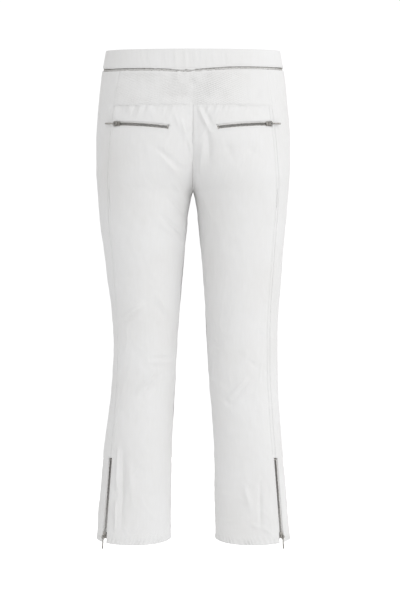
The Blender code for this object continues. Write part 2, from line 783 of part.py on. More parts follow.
def main():
    for word, side in (("left", -1), ("right", 1)):
        ankle, pocket = ankle_track(side), arc_track(side)
        ankle_travel = ANKLE_TOP - ANKLE_SLIDER - SLIDER_HALF_LENGTH
        pocket_travel = pocket_length(side) - SLIDER_HALF_LENGTH
        slot_past = SLIDER_HALF_LENGTH + STOP_LENGTH + 1.5 * MM
        ankle_slot = slot_cutter(f"ankle_slot_{word}", ankle, 30 * MM, -(ankle_travel + slot_past), 2)
        pocket_slot = slot_cutter(
            f"pocket_slot_{word}", pocket, SLIDER_HALF_LENGTH + 2 * MM, -(pocket_travel + slot_past), 9
        )
        make_panels(word, side, ankle_slot, pocket_slot)
        make_pocket_bag(word, side)
        make_zip("pocket_zip", f"_{word}", pocket, pocket_travel, 11)
        make_zip("ankle_zip", f"_{word}", ankle, ankle_travel, 2)
        add_ring_pull("pocket_zip", f"_{word}", pocket)
        add_ring_pull("ankle_zip", f"_{word}", ankle)
    make_waistband()
    make_waist_zip()
    make_yoke()
    make_press_stud()
    make_fly()
    make_care_label()


SLIDER = slider_mesh()
PULL_BAR = pull_bar_mesh()
FLY_PULL = fly_pull_mesh()
main()
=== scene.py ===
"""The looks of slim white ski pants: twill panels, a stitched yoke, elastic waist and metal zips."""

import json
import math

import bpy
import numpy as np
from mathutils import Matrix, Vector

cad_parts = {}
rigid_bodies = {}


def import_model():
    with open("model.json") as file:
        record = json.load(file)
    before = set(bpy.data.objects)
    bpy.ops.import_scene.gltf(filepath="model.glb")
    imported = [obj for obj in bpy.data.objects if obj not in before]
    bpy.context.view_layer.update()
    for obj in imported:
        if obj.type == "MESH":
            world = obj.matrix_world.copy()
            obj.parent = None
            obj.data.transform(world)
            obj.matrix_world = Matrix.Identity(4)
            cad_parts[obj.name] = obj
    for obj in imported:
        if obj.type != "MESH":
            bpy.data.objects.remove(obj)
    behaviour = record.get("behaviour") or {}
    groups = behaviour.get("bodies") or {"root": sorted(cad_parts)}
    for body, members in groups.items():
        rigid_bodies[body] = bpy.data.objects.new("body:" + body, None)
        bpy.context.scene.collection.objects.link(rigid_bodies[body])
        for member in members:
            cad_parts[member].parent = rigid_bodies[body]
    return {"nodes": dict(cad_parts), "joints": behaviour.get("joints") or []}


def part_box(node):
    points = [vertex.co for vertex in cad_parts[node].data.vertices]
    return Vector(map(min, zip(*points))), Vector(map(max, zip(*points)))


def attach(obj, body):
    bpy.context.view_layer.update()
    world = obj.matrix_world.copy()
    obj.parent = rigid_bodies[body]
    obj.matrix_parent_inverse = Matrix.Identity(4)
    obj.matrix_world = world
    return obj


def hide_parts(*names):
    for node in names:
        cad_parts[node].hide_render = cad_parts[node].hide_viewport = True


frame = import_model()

MM = 0.001
TURN = 2 * math.pi
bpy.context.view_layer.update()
nodes = frame["nodes"]
joints = {joint["name"]: joint for joint in frame["joints"]}
SIDES = (("left", -1), ("right", 1))

CLOTH, THIN = 1.2 * MM, 0.6 * MM
SLOT_HALF = 5.1 * MM
TAPE_DEPTH = 2.8 * MM
RING_HEIGHT = 5.2 * MM
LIP = 2.0 * MM  # how far an edge is turned in
ACROSS = Matrix.Rotation(math.pi, 4, "Z")  # turns a tooth to the other row
STITCH_PITCH = 3.2 * MM
STITCH_IN = 2.2 * MM  # from an edge to its line of stitching
HEM_DEPTH = 9 * MM
CHAIN_START = 4.5 * MM  # how far a zip's tape runs past its closed end
TOOTH_PITCH = 2.54 * MM
POCKET_Z = -146.5 * MM
SEAT_ANGLE = -1.2  # about the middle of a back pocket

# Distance in from an edge and depth under the face there: the rounded turn of a sewn edge.
EDGE_TURN = [(off * MM, deep * MM) for off, deep in ((0, 0.55), (0.02, 0.36), (0.15, 0.16), (0.45, 0.03))]
NEAR_EDGE = np.array([0.0, 0.05, 0.2, 0.5]) * MM  # where columns and rows stand beside an edge
JUST_IN = 0.02 * MM
LAP = 0.9 * MM  # the cloth laps this far over each side of the waist zip's teeth
EDGE_END = 0.9 * MM
WAIST_HALF, WAIST_MIDDLE = (0.167, 0.092), -0.004  # roughly, to tell the band's face from its back
CROTCH_SPAN = 24.6 * MM  # the ovals fitted this near the crotch are left out, all but the crotch's own


# ---------------------------------------------------------------- the shape the cloth follows


def points_of(made):
    """A mesh's points, one a row."""
    points = np.zeros(len(made.data.vertices) * 3)
    made.data.vertices.foreach_get("co", points)
    return points.reshape(-1, 3)


def move_points(made, points):
    made.data.vertices.foreach_set("co", points.reshape(-1))
    made.data.update()


def corners_of(name):
    return np.unique(np.round(points_of(nodes[name]), 6), axis=0)


def fit_oval(points):
    """Middle across, half width, middle front to back and half depth of the oval through points."""
    middle = points[:, :2].mean(axis=0)
    u, v = (points[:, :2] - middle).T
    system = np.stack([u * u, u, v * v, v], axis=1)
    p, q, r, s = np.linalg.lstsq(system, np.ones(len(u)), rcond=None)[0]
    cu, cv = -q / (2 * p), -s / (2 * r)
    size = 1 + p * cu * cu + r * cv * cv
    return middle[0] + cu, math.sqrt(size / p), middle[1] + cv, math.sqrt(size / r)


def outer_oval(points):
    """The oval through the outermost of a row's points."""
    found = fit_oval(points)
    for _ in range(3):
        cx, a, cy, b = found
        reach = ((points[:, 0] - cx) / a) ** 2 + ((points[:, 1] - cy) / b) ** 2
        points = points[reach > np.median(reach) - 0.01] if len(points) > 12 else points
        found = fit_oval(points)
    return found


def measure_levels():
    """Heights, from the top down, and the oval at each."""
    rows = []
    front = corners_of("front_panel_right")
    heights, counts = np.unique(np.round(front[:, 2], 5), return_counts=True)
    for height, count in zip(heights, counts):
        if count >= 15:
            rows.append((height, *fit_oval(front[np.abs(front[:, 2] - height) < 0.02 * MM])))
    outer = corners_of("waistband_outer")
    for height in (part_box("waistband_outer")[1].z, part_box("waistband_outer")[0].z):
        ring = outer[(np.abs(outer[:, 2] - height) < 0.05 * MM) & (outer[:, 0] > 5 * MM)]
        radius = np.hypot(ring[:, 0] / WAIST_HALF[0], (ring[:, 1] - WAIST_MIDDLE) / WAIST_HALF[1])
        rows.append((height, *outer_oval(ring[radius > radius.max() - 0.03])))
    crotch = min(rows, key=lambda row: abs(row[1] - row[2]))[0]
    rows = [row for row in rows if row[0] == crotch or abs(row[0] - crotch) > CROTCH_SPAN]
    rows.sort(reverse=True)
    return np.array(rows)


LEVELS = measure_levels()
LEVEL_Z, LEVEL_OVAL = LEVELS[:, 0], LEVELS[:, 1:]
LEVEL_SLOPE = np.gradient(LEVEL_OVAL, LEVEL_Z, axis=0)


def section(z):
    """The oval at each height: middle across, half width, middle front to back, half depth."""
    z = np.asarray(z, float)
    i = np.clip(np.searchsorted(-LEVEL_Z, -z) - 1, 0, len(LEVEL_Z) - 2)
    span = (LEVEL_Z[i + 1] - LEVEL_Z[i])[..., None]
    raw = (z[..., None] - LEVEL_Z[i][..., None]) / span
    s = np.clip(raw, 0.0, 1.0)
    first, last = LEVEL_OVAL[i], LEVEL_OVAL[i + 1]
    leave, arrive = LEVEL_SLOPE[i] * span, LEVEL_SLOPE[i + 1] * span
    value = (
        first * (1 + 2 * s) * (1 - s) ** 2 + leave * s * (1 - s) ** 2
        + last * s * s * (3 - 2 * s) + arrive * s * s * (s - 1)
    )
    value = value + (raw - s) * np.where(raw > 1, arrive, leave)
    return np.moveaxis(value, -1, 0)


def skin(side, angle, z, depth=0.0):
    """Points of the cloth's face. The angle is 0 at the outer side and negative on the seat."""
    angle, z, depth = np.broadcast_arrays(angle, z, depth)
    cx, a, cy, b = section(z)
    across, along = b * np.cos(angle), a * np.sin(angle)
    size = np.hypot(across, along)
    x = cx + a * np.cos(angle) - depth * across / size
    y = cy + b * np.sin(angle) - depth * along / size
    return np.stack([side * x, y, z], axis=-1)


def speed(angle, z):
    """Distance round the oval for each radian."""
    _, a, _, b = section(z)
    return np.hypot(a * np.sin(angle), b * np.cos(angle))


def outward(side, angle, z):
    step = 0.5 * MM
    round_it = skin(side, angle + 0.002, z) - skin(side, angle - 0.002, z)
    up = skin(side, angle, z + step) - skin(side, angle, z - step)
    normal = np.cross(round_it, up) * side
    return normal / np.linalg.norm(normal, axis=-1, keepdims=True)


def middle_angle(z):
    """How far round the oval goes before the middle plane or, below the crotch, the inseam."""
    cx, a, _, _ = section(z)
    return np.where(cx - a >= 0, math.pi, np.arccos(np.clip(-cx / a, -1, 1)))


def angle_of(x, z):
    """The angle, from 0 to pi, where the oval is x from the middle plane."""
    cx, a, _, _ = section(z)
    return np.arccos(np.clip((x - cx) / a, -1, 1))


# ---------------------------------------------------------------- zip tracks from the joints


class Track:
    """A zip's line. x runs along it past its closed end, y across it and z out of the cloth."""

    def __init__(self, start, along, across, centre=None):
        self.start, self.along, self.across = start, along, across
        self.out = along.cross(across)
        self.centre = centre
        self.radius = (start - centre).length if centre else None

    def frame(self, x):
        if self.centre:
            turn = Matrix.Rotation(x / self.radius, 3, self.across)
            place = self.centre + turn @ (self.start - self.centre)
        else:
            turn, place = Matrix.Identity(3), self.start + self.along * x
        columns = [turn @ v for v in (self.along, self.across, self.out)]
        return Matrix.Translation(place) @ Matrix(columns).transposed().to_4x4()


def straight_track(slide, swing, sign):
    along = -Vector(joints[slide]["axis"]).normalized()
    across = (Vector(joints[swing]["axis"]) * sign).normalized()
    across = (across - along * across.dot(along)).normalized()
    out = along.cross(across)
    return Track(Vector(joints[swing]["pos_m"]) - out * RING_HEIGHT, along, across)


def pocket_track(word):
    slide, swing = joints[f"pocket_slide_{word}"], joints[f"pocket_ring_swing_{word}"]
    across = -Vector(slide["axis"]).normalized()
    centre, bail = Vector(slide["pos_m"]), Vector(swing["pos_m"])
    out = bail - centre
    out = (out - across * out.dot(across)).normalized()
    return Track(bail - out * RING_HEIGHT, across.cross(out), across, centre)


ANKLE = {w: straight_track(f"ankle_slide_{w}", f"ankle_ring_swing_{w}", -1) for w, _ in SIDES}
POCKET = {word: pocket_track(word) for word, _ in SIDES}
FLY = straight_track("fly_slide", "fly_pull_lift", 1)

SLIDER_HALF = 6 * MM
STOP_HALF = 1.7 * MM
ANKLE_TRAVEL = joints["ankle_slide_left"]["range_m"][1] + 0.5 * MM
POCKET_TRAVEL = math.radians(joints["pocket_slide_left"]["range_deg"][1]) * POCKET["left"].radius + 0.5 * MM
FLY_TRAVEL = joints["fly_slide"]["range_m"][1] + 1 * MM
SLOT_PAST = SLIDER_HALF + 2 * STOP_HALF + 1.5 * MM
SEAM_PLACE = ANKLE["right"].start + ANKLE["right"].out * TAPE_DEPTH


def seam_angle():
    cx, a, cy, b = section(SEAM_PLACE.z)
    return math.atan2((SEAM_PLACE.y - cy) / b, (SEAM_PLACE.x - cx) / a)


SEAM = seam_angle()
ANKLE_SLOT_TOP = float(ANKLE["right"].frame(-(ANKLE_TRAVEL + SLOT_PAST)).translation.z)
GAP = 0.5 * MM
CLEAR = 0.05 * MM  # between the face and its seam line, on each side of a sewn seam
YOKE_TOP, YOKE_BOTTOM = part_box("back_yoke")[1].z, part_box("back_yoke")[0].z
BAND_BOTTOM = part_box("waistband_outer")[0].z
BACK_LOW, FRONT_LOW = (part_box(f"{face}_panel_right")[0].z for face in ("back", "front"))
HEM_DIP = (FRONT_LOW - BACK_LOW) / (1 + math.sin(SEAM))
HEM = BACK_LOW + HEM_DIP


def find_crotch():
    """The height where the legs' ovals part."""
    z = np.linspace(-0.20, -0.32, 2401)
    cx, a, _, _ = section(z)
    return float(z[np.argmax(cx - a >= 0)])


CROTCH = find_crotch()


def hem_height(angle):
    return HEM + HEM_DIP * np.sin(angle)


# ---------------------------------------------------------------- how the cloth lies


def ripple(u, v, seed):
    """Smooth bumps about 0, roughly one for each unit of u and v."""
    lattice = np.random.default_rng(seed).uniform(-1, 1, (64, 64))
    iu, iv = np.floor(u).astype(int), np.floor(v).astype(int)
    fu, fv = u - iu, v - iv
    fu, fv = fu * fu * (3 - 2 * fu), fv * fv * (3 - 2 * fv)

    def at(i, j):
        return lattice[(iu + i) % 64, (iv + j) % 64]

    low = at(0, 0) * (1 - fu) + at(1, 0) * fu
    high = at(0, 1) * (1 - fu) + at(1, 1) * fu
    return low * (1 - fv) + high * fv


def ramp(value, low, high):
    """0 below low, 1 above high, smooth between them."""
    t = np.clip((value - low) / (high - low), 0, 1)
    return t * t * (3 - 2 * t)


def fold(x, z, line, width, height):
    """A ridge, or a valley where height is negative, along a line of (x, z) ends, in millimetres."""
    x0, z0, x1, z1 = (v * MM for v in line)
    dx, dz = x1 - x0, z1 - z0
    size = math.hypot(dx, dz)
    share = ((x - x0) * dx + (z - z0) * dz) / size**2
    off = ((x - x0) * dz - (z - z0) * dx) / size
    ends = np.clip(np.maximum(-share, share - 1), 0, None) * size
    taper = 0.45 + 0.55 * np.sin(math.pi * np.clip(share, 0, 1))
    shape = np.exp(-(np.abs(off / (0.8 * width * MM)) ** 1.5) - (ends / (1.3 * width * MM)) ** 2)
    return 2.0 * height * MM * taper * shape


# Folds seen from the back: the line's ends (x, z, x, z), half width and height, in millimetres.
SEAT_FOLDS = (
    ((-23, -136, -6, -190), 5.0, 2.2), ((-14, -150, -8, -196), 4.5, -1.8),
    ((-34, -128, -26, -150), 5.0, 1.2), ((-66, -192, -24, -226), 7.0, -1.8),
    ((-60, -206, -30, -240), 7.0, 1.5), ((-58, -320, -17, -355), 4.5, -1.8),
    ((-62, -332, -24, -366), 6.0, 1.6), ((-46, -284, -12, -318), 5.5, -1.4),
    ((-34, -262, -9, -292), 5.5, 1.2), ((10, -112, 31, -158), 4.5, 2.2),
    ((19, -112, 38, -150), 4.0, -1.2), ((28, -158, 31, -214), 9.0, -2.2),
    ((18, -186, 14, -236), 6.0, 1.2), ((64, -184, 72, -202), 11.0, -1.3),
    ((104, -190, 118, -198), 12.0, -1.1), ((10, -262, 34, -320), 8.0, 1.0),
)
LEG_FOLDS = (
    ((-129, -508, -98, -488), 6.0, 1.8), ((-132, -520, -104, -500), 5.0, -1.3),
    ((-68, -470, -48, -508), 6.0, 1.5), ((-80, -589, -44, -589), 4.0, -1.2),
    ((-82, -598, -46, -597), 5.0, 1.1), ((-104, -652, -70, -612), 5.0, 1.8),
    ((-98, -660, -64, -622), 5.0, -1.4), ((74, -657, 99, -633), 4.5, 1.7),
    ((80, -664, 104, -640), 4.5, -1.2), ((34, -556, 46, -566), 5.0, -1.2),
    ((108, -596, 120, -604), 6.0, -1.0), ((60, -668, 72, -676), 5.0, -1.0),
    ((-144, -762, -146, -838), 2.6, 1.9), ((-148, -862, -149, -915), 2.4, 1.7),
    ((-134, -770, -136, -905), 6.5, -2.0), ((128, -830, 129, -904), 4.5, -1.5),
    ((99, -838, 108, -872), 8.0, 1.8), ((133, -914, 148, -923), 2.6, 1.2),
    ((-122, -800, -116, -860), 8.0, 1.0), ((112, -908, 126, -913), 3.0, 1.0),
)
FRONT_FOLDS = (
    ((8, -250, 62, -205), 6.0, 1.7), ((8, -262, 70, -232), 6.0, -1.4),
    ((-8, -248, -64, -208), 6.0, 1.6), ((-8, -262, -66, -236), 6.0, -1.4),
    ((20, -300, 74, -270), 7.0, 1.3), ((-22, -302, -70, -276), 7.0, 1.3),
    ((50, -560, 120, -590), 8.0, 1.6), ((56, -600, 124, -618), 7.0, -1.4),
    ((-52, -566, -120, -590), 8.0, 1.6), ((-60, -612, -118, -622), 7.0, -1.3),
    ((80, -840, 110, -862), 7.0, 1.3), ((-84, -846, -112, -866), 7.0, 1.3),
)


def zip_distance(p, side):
    """Distance of points from the visible zips of their side, in metres."""
    word = "left" if side < 0 else "right"
    nearest = np.full(p.shape[:-1], 1.0)
    for track, far in ((ANKLE[word], ANKLE_TRAVEL + SLOT_PAST), (POCKET[word], POCKET_TRAVEL + SLOT_PAST)):
        ends = [track.frame(x).translation for x in np.linspace(-far, 8 * MM, 7)]
        for first, last in zip(ends, ends[1:]):
            run = np.array(last - first)
            share = np.clip(((p - np.array(first)) @ run) / (run @ run), 0, 1)
            gap = np.linalg.norm(p - np.array(first) - share[..., None] * run, axis=-1)
            nearest = np.minimum(nearest, gap)
    return nearest


def bell(value, width):
    """1 at 0, falling off smoothly to both sides."""
    return np.exp(-((value / width) ** 2))


def soft_creases(side, girth, x, z):
    """Slow waves over each leg, fine ones on top, and thin creases at the seat, knees and ankles."""
    slow = ripple(girth * 1.6 + 7 * side, z / 0.085 + 3, 11)
    slow += 0.5 * ripple(girth * 3.1, z / 0.034, 12 + side)
    fine = 0.3 * MM * ripple(girth * 8 + 3 * side, z / 0.012, 14)
    bend = 0.6 * ripple(girth * 2.2, z / 0.05, 15)
    crease = 1 - np.abs(ripple(girth * 3.2 + bend + 5 * side, z / 0.030 + 0.5 * girth + bend, 16)) * 2.4
    places = bell(z + 0.19, 0.075) * bell(x, 0.075)
    places = places + 0.55 * bell(z + 0.58, 0.11) + 0.5 * bell(z + 0.88, 0.08)
    slow *= (0.45 + 0.75 * ramp(-z, 0.15, 0.34)) * MM
    return slow + fine + 1.1 * MM * places * np.clip(crease, 0, 1) ** 2


def yoke_gathers(x, z):
    """Short gathers hanging from the yoke's lower edge, deepest at the middle."""
    below = np.clip(YOKE_BOTTOM - z, 0, None)
    hang = bell(below, 9 * MM + 12 * MM * (0.5 + 0.5 * ripple(x / 0.013, 0 * x, 21)))
    gather = ripple((x + 0.35 * below) / 0.0052, 0 * x + 4, 22) + 0.6 * ripple(x / 0.0105, z / 0.03, 23)
    where = ramp(-z, -YOKE_BOTTOM - 0.002, -YOKE_BOTTOM + 0.003) * (1 - 0.75 * ramp(x, 0.05, 0.12))
    return 1.5 * MM * gather * hang * where


def hem_puckers(side, angle, z):
    """The hem, puckered by its stitching, which sinks into it."""
    up = z - hem_height(angle)
    pucker = ramp(-up, -22 * MM, -9 * MM) * 0.45 + 0.75 * ramp(-up, -10 * MM, -8 * MM)
    slant = angle * 0.06 + 0.35 * up
    drift = 0.45 * ripple(slant / 0.021, up / 0.05 + 9 * side, 31)
    wave = np.sin(TURN * (slant / (7.2 * MM) + drift)) * (0.75 + 0.6 * ripple(slant / 0.017, up / 0.02, 34))
    return 0.85 * MM * wave * pucker - 0.35 * MM * bell(up - HEM_DEPTH, 1.1 * MM)


def seam_relief(side, angle, z, back):
    """Seams sink a little, stand up where the cloth is doubled and ripple the cloth beside them."""
    off = (angle - SEAM) * speed(angle, z)
    total = 0.28 * MM * bell(np.abs(off) - 5 * MM, 4 * MM) * ripple(z / 0.0065, 0 * z + 2 * side, 32)
    total -= 0.15 * MM * bell(off, 1.2 * MM)
    total += 0.45 * MM * ramp(-off, 0.3 * MM, 1.2 * MM) * ramp(off, -8.6 * MM, -7.6 * MM)
    off = (middle_angle(z) - np.abs(angle)) * speed(angle, z)
    if side > 0:
        band = ramp(off, 0.2 * MM, 0.9 * MM) * ramp(-off, -8.8 * MM, -8.0 * MM)
        total += 0.55 * MM * band * back * ramp(z, CROTCH + 2 * MM, CROTCH + 20 * MM)
    rippled = 0.3 * MM * (1 + ripple(z / 0.0075, 0 * z + 5 * side, 33))
    return total + bell(off - 4 * MM, 2.6 * MM) * rippled


def relief(side, angle, z):
    """How far the cloth stands out from the shape it was cut for."""
    angle, z = np.broadcast_arrays(angle, z)
    p = skin(side, angle, z)
    x, y = p[..., 0], p[..., 1]
    _, _, cy, b = section(z)
    back, front = ramp(cy - y, -0.2 * b, 0.25 * b), ramp(y - cy, -0.2 * b, 0.25 * b)
    total = np.zeros_like(x)
    for where, folds in ((back, SEAT_FOLDS + LEG_FOLDS), (front, FRONT_FOLDS)):
        for line, width, height in folds:
            total += where * fold(x, z, line, width, height)
    total += soft_creases(side, angle * speed(angle, z) / 0.09, x, z)
    total += back * yoke_gathers(x, z) + hem_puckers(side, angle, z) + seam_relief(side, angle, z, back)
    if side < 0:  # the left leg hangs slimmer than it was cut, between its pocket and its ankle zip
        sides = 8.5 * MM * bell(angle, 0.6) + 3.0 * MM * bell(math.pi - np.abs(angle), 0.6)
        total -= bell(z + 0.56, 0.135) * sides
    return total * ramp(zip_distance(p, side), 5.5 * MM, 15 * MM)


# ---------------------------------------------------------------- making cloth


def make_active(made):
    bpy.ops.object.select_all(action="DESELECT")
    bpy.context.view_layer.objects.active = made
    made.select_set(True)


def thicken(made, thickness):
    """Gives a cloth its thickness, inwards from its face."""
    solid = made.modifiers.new("thickness", "SOLIDIFY")
    solid.thickness = thickness
    solid.offset = -1.0
    make_active(made)
    bpy.ops.object.modifier_apply(modifier=solid.name)


def add_mesh(name, points, faces, flat=None):
    """A smooth mesh at the origin. flat is each corner's place on the cut cloth, for the weave."""
    mesh = bpy.data.meshes.new(name)
    if flat is not None:
        used, faces = np.unique(faces, return_inverse=True)
        faces, points, flat = faces.reshape(-1, 4), points[used], flat[used]
    mesh.from_pydata(points, [], faces)
    if flat is not None:
        layer = mesh.uv_layers.new(name="flat")
        layer.data.foreach_set("uv", flat[faces.reshape(-1)].astype(np.float32).reshape(-1))
    mesh.shade_smooth()
    made = bpy.data.objects.new(name, mesh)
    bpy.context.scene.collection.objects.link(made)
    return made


def finish_piece(made, finish, *replaced, body="pants"):
    """Gives a piece its material, attaches it to the body it moves with and hides the nodes it stands for.
    """
    made.data.materials.append(finish)
    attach(made, body)
    if replaced:
        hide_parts(*replaced)


def cloth(name, node, points, finish, middle, keep=None, thickness=CLOTH, body="pants"):
    """A cloth piece over rows of points that faces away from the middle, a point for each row."""
    rows, columns = points.shape[:2]
    across = np.linalg.norm(np.diff(points, axis=1), axis=-1).cumsum(axis=1)
    across = np.concatenate([np.zeros((rows, 1)), across], axis=1)
    across -= across[:, columns // 2][:, None]
    down = np.linalg.norm(np.diff(points[:, columns // 2], axis=0), axis=-1).cumsum()
    down = np.concatenate([[0.0], down])
    flat = np.stack([across, np.broadcast_to(-down[:, None], across.shape)], axis=-1)
    index = np.arange(rows * columns).reshape(rows, columns)
    quads = np.stack([index[:-1, :-1], index[:-1, 1:], index[1:, 1:], index[1:, :-1]], axis=-1)
    cross = np.cross(points[1:, :-1] - points[:-1, :-1], points[:-1, 1:] - points[:-1, :-1])
    away = points[:-1, :-1] - middle[:-1, None]
    if (cross * away).sum() > 0:
        quads = quads[..., ::-1]
    quads = quads.reshape(-1, 4) if keep is None else quads[keep]
    area = float(np.linalg.norm(cross, axis=-1).sum())
    made = add_mesh(name, points.reshape(-1, 3), quads, flat.reshape(-1, 2))
    thicken(made, thickness)
    finish_piece(made, finish, node, body=body)
    made["flat_width"] = float(across[:, -1].max() - across[:, 0].min())
    made["flat_length"] = float(down[-1])
    made["flat_area"] = min(area, made["flat_width"] * made["flat_length"])
    return made


def leg_middle(side, z):
    """The middle of a leg at each height, which its cloth faces away from."""
    cx, _, cy, _ = section(z)
    return np.stack([side * cx, cy, z], axis=-1)


def turned_edge(distance, size=1.0):
    """Depth of the face near an edge that is turned in, by distance from the edge."""
    depths = np.array([0.5, 0.28, 0.1, 0.015, 0.0]) * size * MM
    return np.interp(distance, [*NEAR_EDGE, EDGE_END], depths)


def slot_height(side, angle, track, off, guess):
    """The height where the pocket's slit, moved across by off, passes an angle of the skin."""
    across, start = np.array(track.across), np.array(track.start)
    off = math.copysign(off, across[2] * off)
    z = np.full(np.shape(angle), guess)
    for _ in range(6):
        z = z + (off - (skin(side, angle, z) - start) @ across) / across[2]
    return z


def pocket_ends(track):
    """How far round the skin the pocket's slit ends, at its stop and past its slider."""
    angles = []
    for x in (-(POCKET_TRAVEL + SLOT_PAST), SLIDER_HALF + 2 * MM):
        p = track.frame(x) @ Vector((0, 0, TAPE_DEPTH))
        angles.append(-float(angle_of(abs(p.x), p.z)))
    return angles


def panel_columns(back, track):
    """Columns from the side seam to the middle, as (from the seam, share, from the middle).

    A column stands a distance from the seam or from the middle, or a share of the way between."""
    seam = list(CLEAR + NEAR_EDGE) + [CLEAR + EDGE_END, 2.6 * MM, 3.8 * MM, SLOT_HALF - JUST_IN]
    seam += list(SLOT_HALF + NEAR_EDGE)
    columns = [(v, None, None) for v in seam]
    shares = np.linspace(0, 1, 104 if back else 116)
    if back:
        rate = float(speed(SEAT_ANGLE, POCKET_Z))
        width = rate * (float(middle_angle(POCKET_Z)) + SEAM) - SLOT_HALF - 2 * EDGE_END
        ends = pocket_ends(track)[::-1]
        ends = [((SEAM - angle) * rate - SLOT_HALF - EDGE_END) / width for angle in ends]
        near = NEAR_EDGE / width
        slot = list(ends[0] - near) + [ends[0] + JUST_IN / width]
        slot += [ends[1] - JUST_IN / width] + list(ends[1] + near)
        clear = [v for v in shares if min(abs(v - e) for e in ends) > 1.0 * MM / width]
        shares = sorted(clear + slot)
    columns += [(None, v, None) for v in shares]
    columns += [(None, None, v) for v in CLEAR + NEAR_EDGE[::-1]]
    return columns


def column_angles(columns, back, z):
    """The angle of each column along a row whose height is given at each column."""
    way = -1 if back else 1
    rate, reach = speed(SEAM, z), middle_angle(z)
    middle_rate = speed(reach, z)
    low = SEAM + way * (SLOT_HALF + EDGE_END) / rate
    high = way * (reach - (CLEAR + EDGE_END) / middle_rate)
    angles = np.zeros(len(columns))
    for k, (from_seam, share, from_middle) in enumerate(columns):
        if from_seam is not None:
            angles[k] = SEAM + way * from_seam / rate[k]
        elif share is not None:
            angles[k] = low[k] + (high[k] - low[k]) * share
        else:
            angles[k] = way * (reach[k] - from_middle / middle_rate[k])
    return angles


def leg_levels(start):
    """Heights from below the yoke or pocket to the ankle zip's top, close at the crotch."""
    upper = np.linspace(start, CROTCH + 30 * MM, 30)
    near = CROTCH + 30 * MM * (1 - np.arange(1, 25) / 24) ** 2
    below = CROTCH - np.array([0.6, 1.5, 3.0, 5.0, 7.5]) * MM
    lower = np.linspace(CROTCH - 10 * MM, ANKLE_SLOT_TOP + 1.2 * MM, 158)
    return np.concatenate([upper, near, below, lower, ANKLE_SLOT_TOP + NEAR_EDGE[::-1]])


def make_leg_panel(word, side, face):
    """A back or front leg panel, its edges turned in at the seams and along its zips."""
    back = face == "back"
    track = POCKET[word]
    columns = panel_columns(back, track)
    count = len(columns)
    ones = np.ones(count)
    top = YOKE_BOTTOM - 2 * CLEAR if back else YOKE_TOP + LAP

    rows = [(top - v) * ones for v in NEAR_EDGE]
    start = (top - EDGE_END) * ones
    if back:
        angle = column_angles(columns, back, POCKET_Z * ones)
        upper = slot_height(side, angle, track, SLOT_HALF, POCKET_Z)
        lower = slot_height(side, angle, track, -SLOT_HALF, POCKET_Z)
        rows += [start + (upper + 1.2 * MM - start) * share for share in np.linspace(0, 1, 15)]
        rows += [upper + v for v in NEAR_EDGE[::-1]]
        rows += [upper - JUST_IN, (upper + lower) / 2, lower + JUST_IN]
        rows += [lower - v for v in NEAR_EDGE]
        start = lower - 1.2 * MM
    levels = leg_levels(-0.162)
    rows += [start + (levels[0] - start) * share for share in np.linspace(0, 1, 4 if back else 44)]
    rows += [z * ones for z in levels[1:]]
    rows.append((ANKLE_SLOT_TOP - JUST_IN) * ones)
    hem_line = hem_height(column_angles(columns, back, HEM * ones))
    for share in np.linspace(0, 1, 60):
        rows.append(ANKLE_SLOT_TOP - 1 * MM + (hem_line + 1.0 * MM - ANKLE_SLOT_TOP + 1 * MM) * share)
    flat_rows = len(rows)
    turn_up = (
        (0.6, 0.06), (0.25, 0.3), (0.05, 0.75), (0.0, 1.25), (0.05, 1.75), (0.25, 2.2), (0.6, 2.44),
        (1.2, 2.5), (3.5, 2.5), (6.5, 2.5), (9.5, 2.5),
    )
    rows += [hem_line + up * MM for up, _ in turn_up]
    z = np.stack(rows)
    angle = np.stack([column_angles(columns, back, row) for row in rows])
    row_depth = np.concatenate([np.zeros(flat_rows), [d * MM for _, d in turn_up]])[:, None]

    off_seam = np.abs(angle - SEAM) * speed(SEAM, z)
    off_middle = (middle_angle(z) - np.abs(angle)) * speed(np.abs(angle), z)
    depth = np.maximum(turned_edge(off_seam - CLEAR, 0.5), turned_edge(off_middle - CLEAR, 0.35))
    depth = np.maximum(depth, turned_edge(top - z, 0.2 if back else 1.0))
    aside = off_seam - SLOT_HALF
    over = z - ANKLE_SLOT_TOP
    around = np.hypot(np.clip(aside, 0, None), np.clip(over, 0, None))
    slot = (aside < -JUST_IN / 2) & (over < -JUST_IN / 2)
    depth = np.maximum(depth, turned_edge(around))
    if back:
        ends = sorted(pocket_ends(track))
        rate = speed(SEAT_ANGLE, POCKET_Z)
        past = np.maximum((ends[0] - angle) * rate, (angle - ends[1]) * rate)
        past_level = np.maximum(z - upper, lower - z)
        pocket = (past < -JUST_IN / 2) & (past_level < -JUST_IN / 2)
        around = np.hypot(np.clip(past, 0, None), np.clip(past_level, 0, None))
        depth = np.maximum(depth, turned_edge(around))
        slot = slot | pocket
    depth = np.where(slot, LIP, np.maximum(depth, row_depth))
    open_square = slot[:-1, :-1] & slot[:-1, 1:] & slot[1:, 1:] & slot[1:, :-1]
    points = skin(side, angle, z, depth - relief(side, angle, z))
    middle = leg_middle(side, z[:, 0])
    made = cloth(f"{face}_leg_{word}", f"{face}_panel_{word}", points, TWILL, middle, ~open_square)


# ---------------------------------------------------------------- finishes


def connect(value, socket):
    """Links a socket to another one, or gives it a plain value."""
    if isinstance(value, bpy.types.NodeSocket):
        socket.id_data.links.new(value, socket)
    else:
        socket.default_value = value


def add_node(tree, kind, **values):
    """A node with its settings and inputs. An input's name has underscores for its spaces."""
    node = tree.nodes.new(kind)
    for key, value in values.items():
        if hasattr(node, key):
            setattr(node, key, value)
        else:
            connect(value, node.inputs[key.replace("_", " ")])
    return node


def maths(operation, first, second=None):
    """The result of a math node over sockets and plain numbers."""
    tree = (second if isinstance(first, float) else first).id_data
    node = add_node(tree, "ShaderNodeMath", operation=operation)
    connect(first, node.inputs[0])
    if second is not None:
        connect(second, node.inputs[1])
    return node.outputs[0]


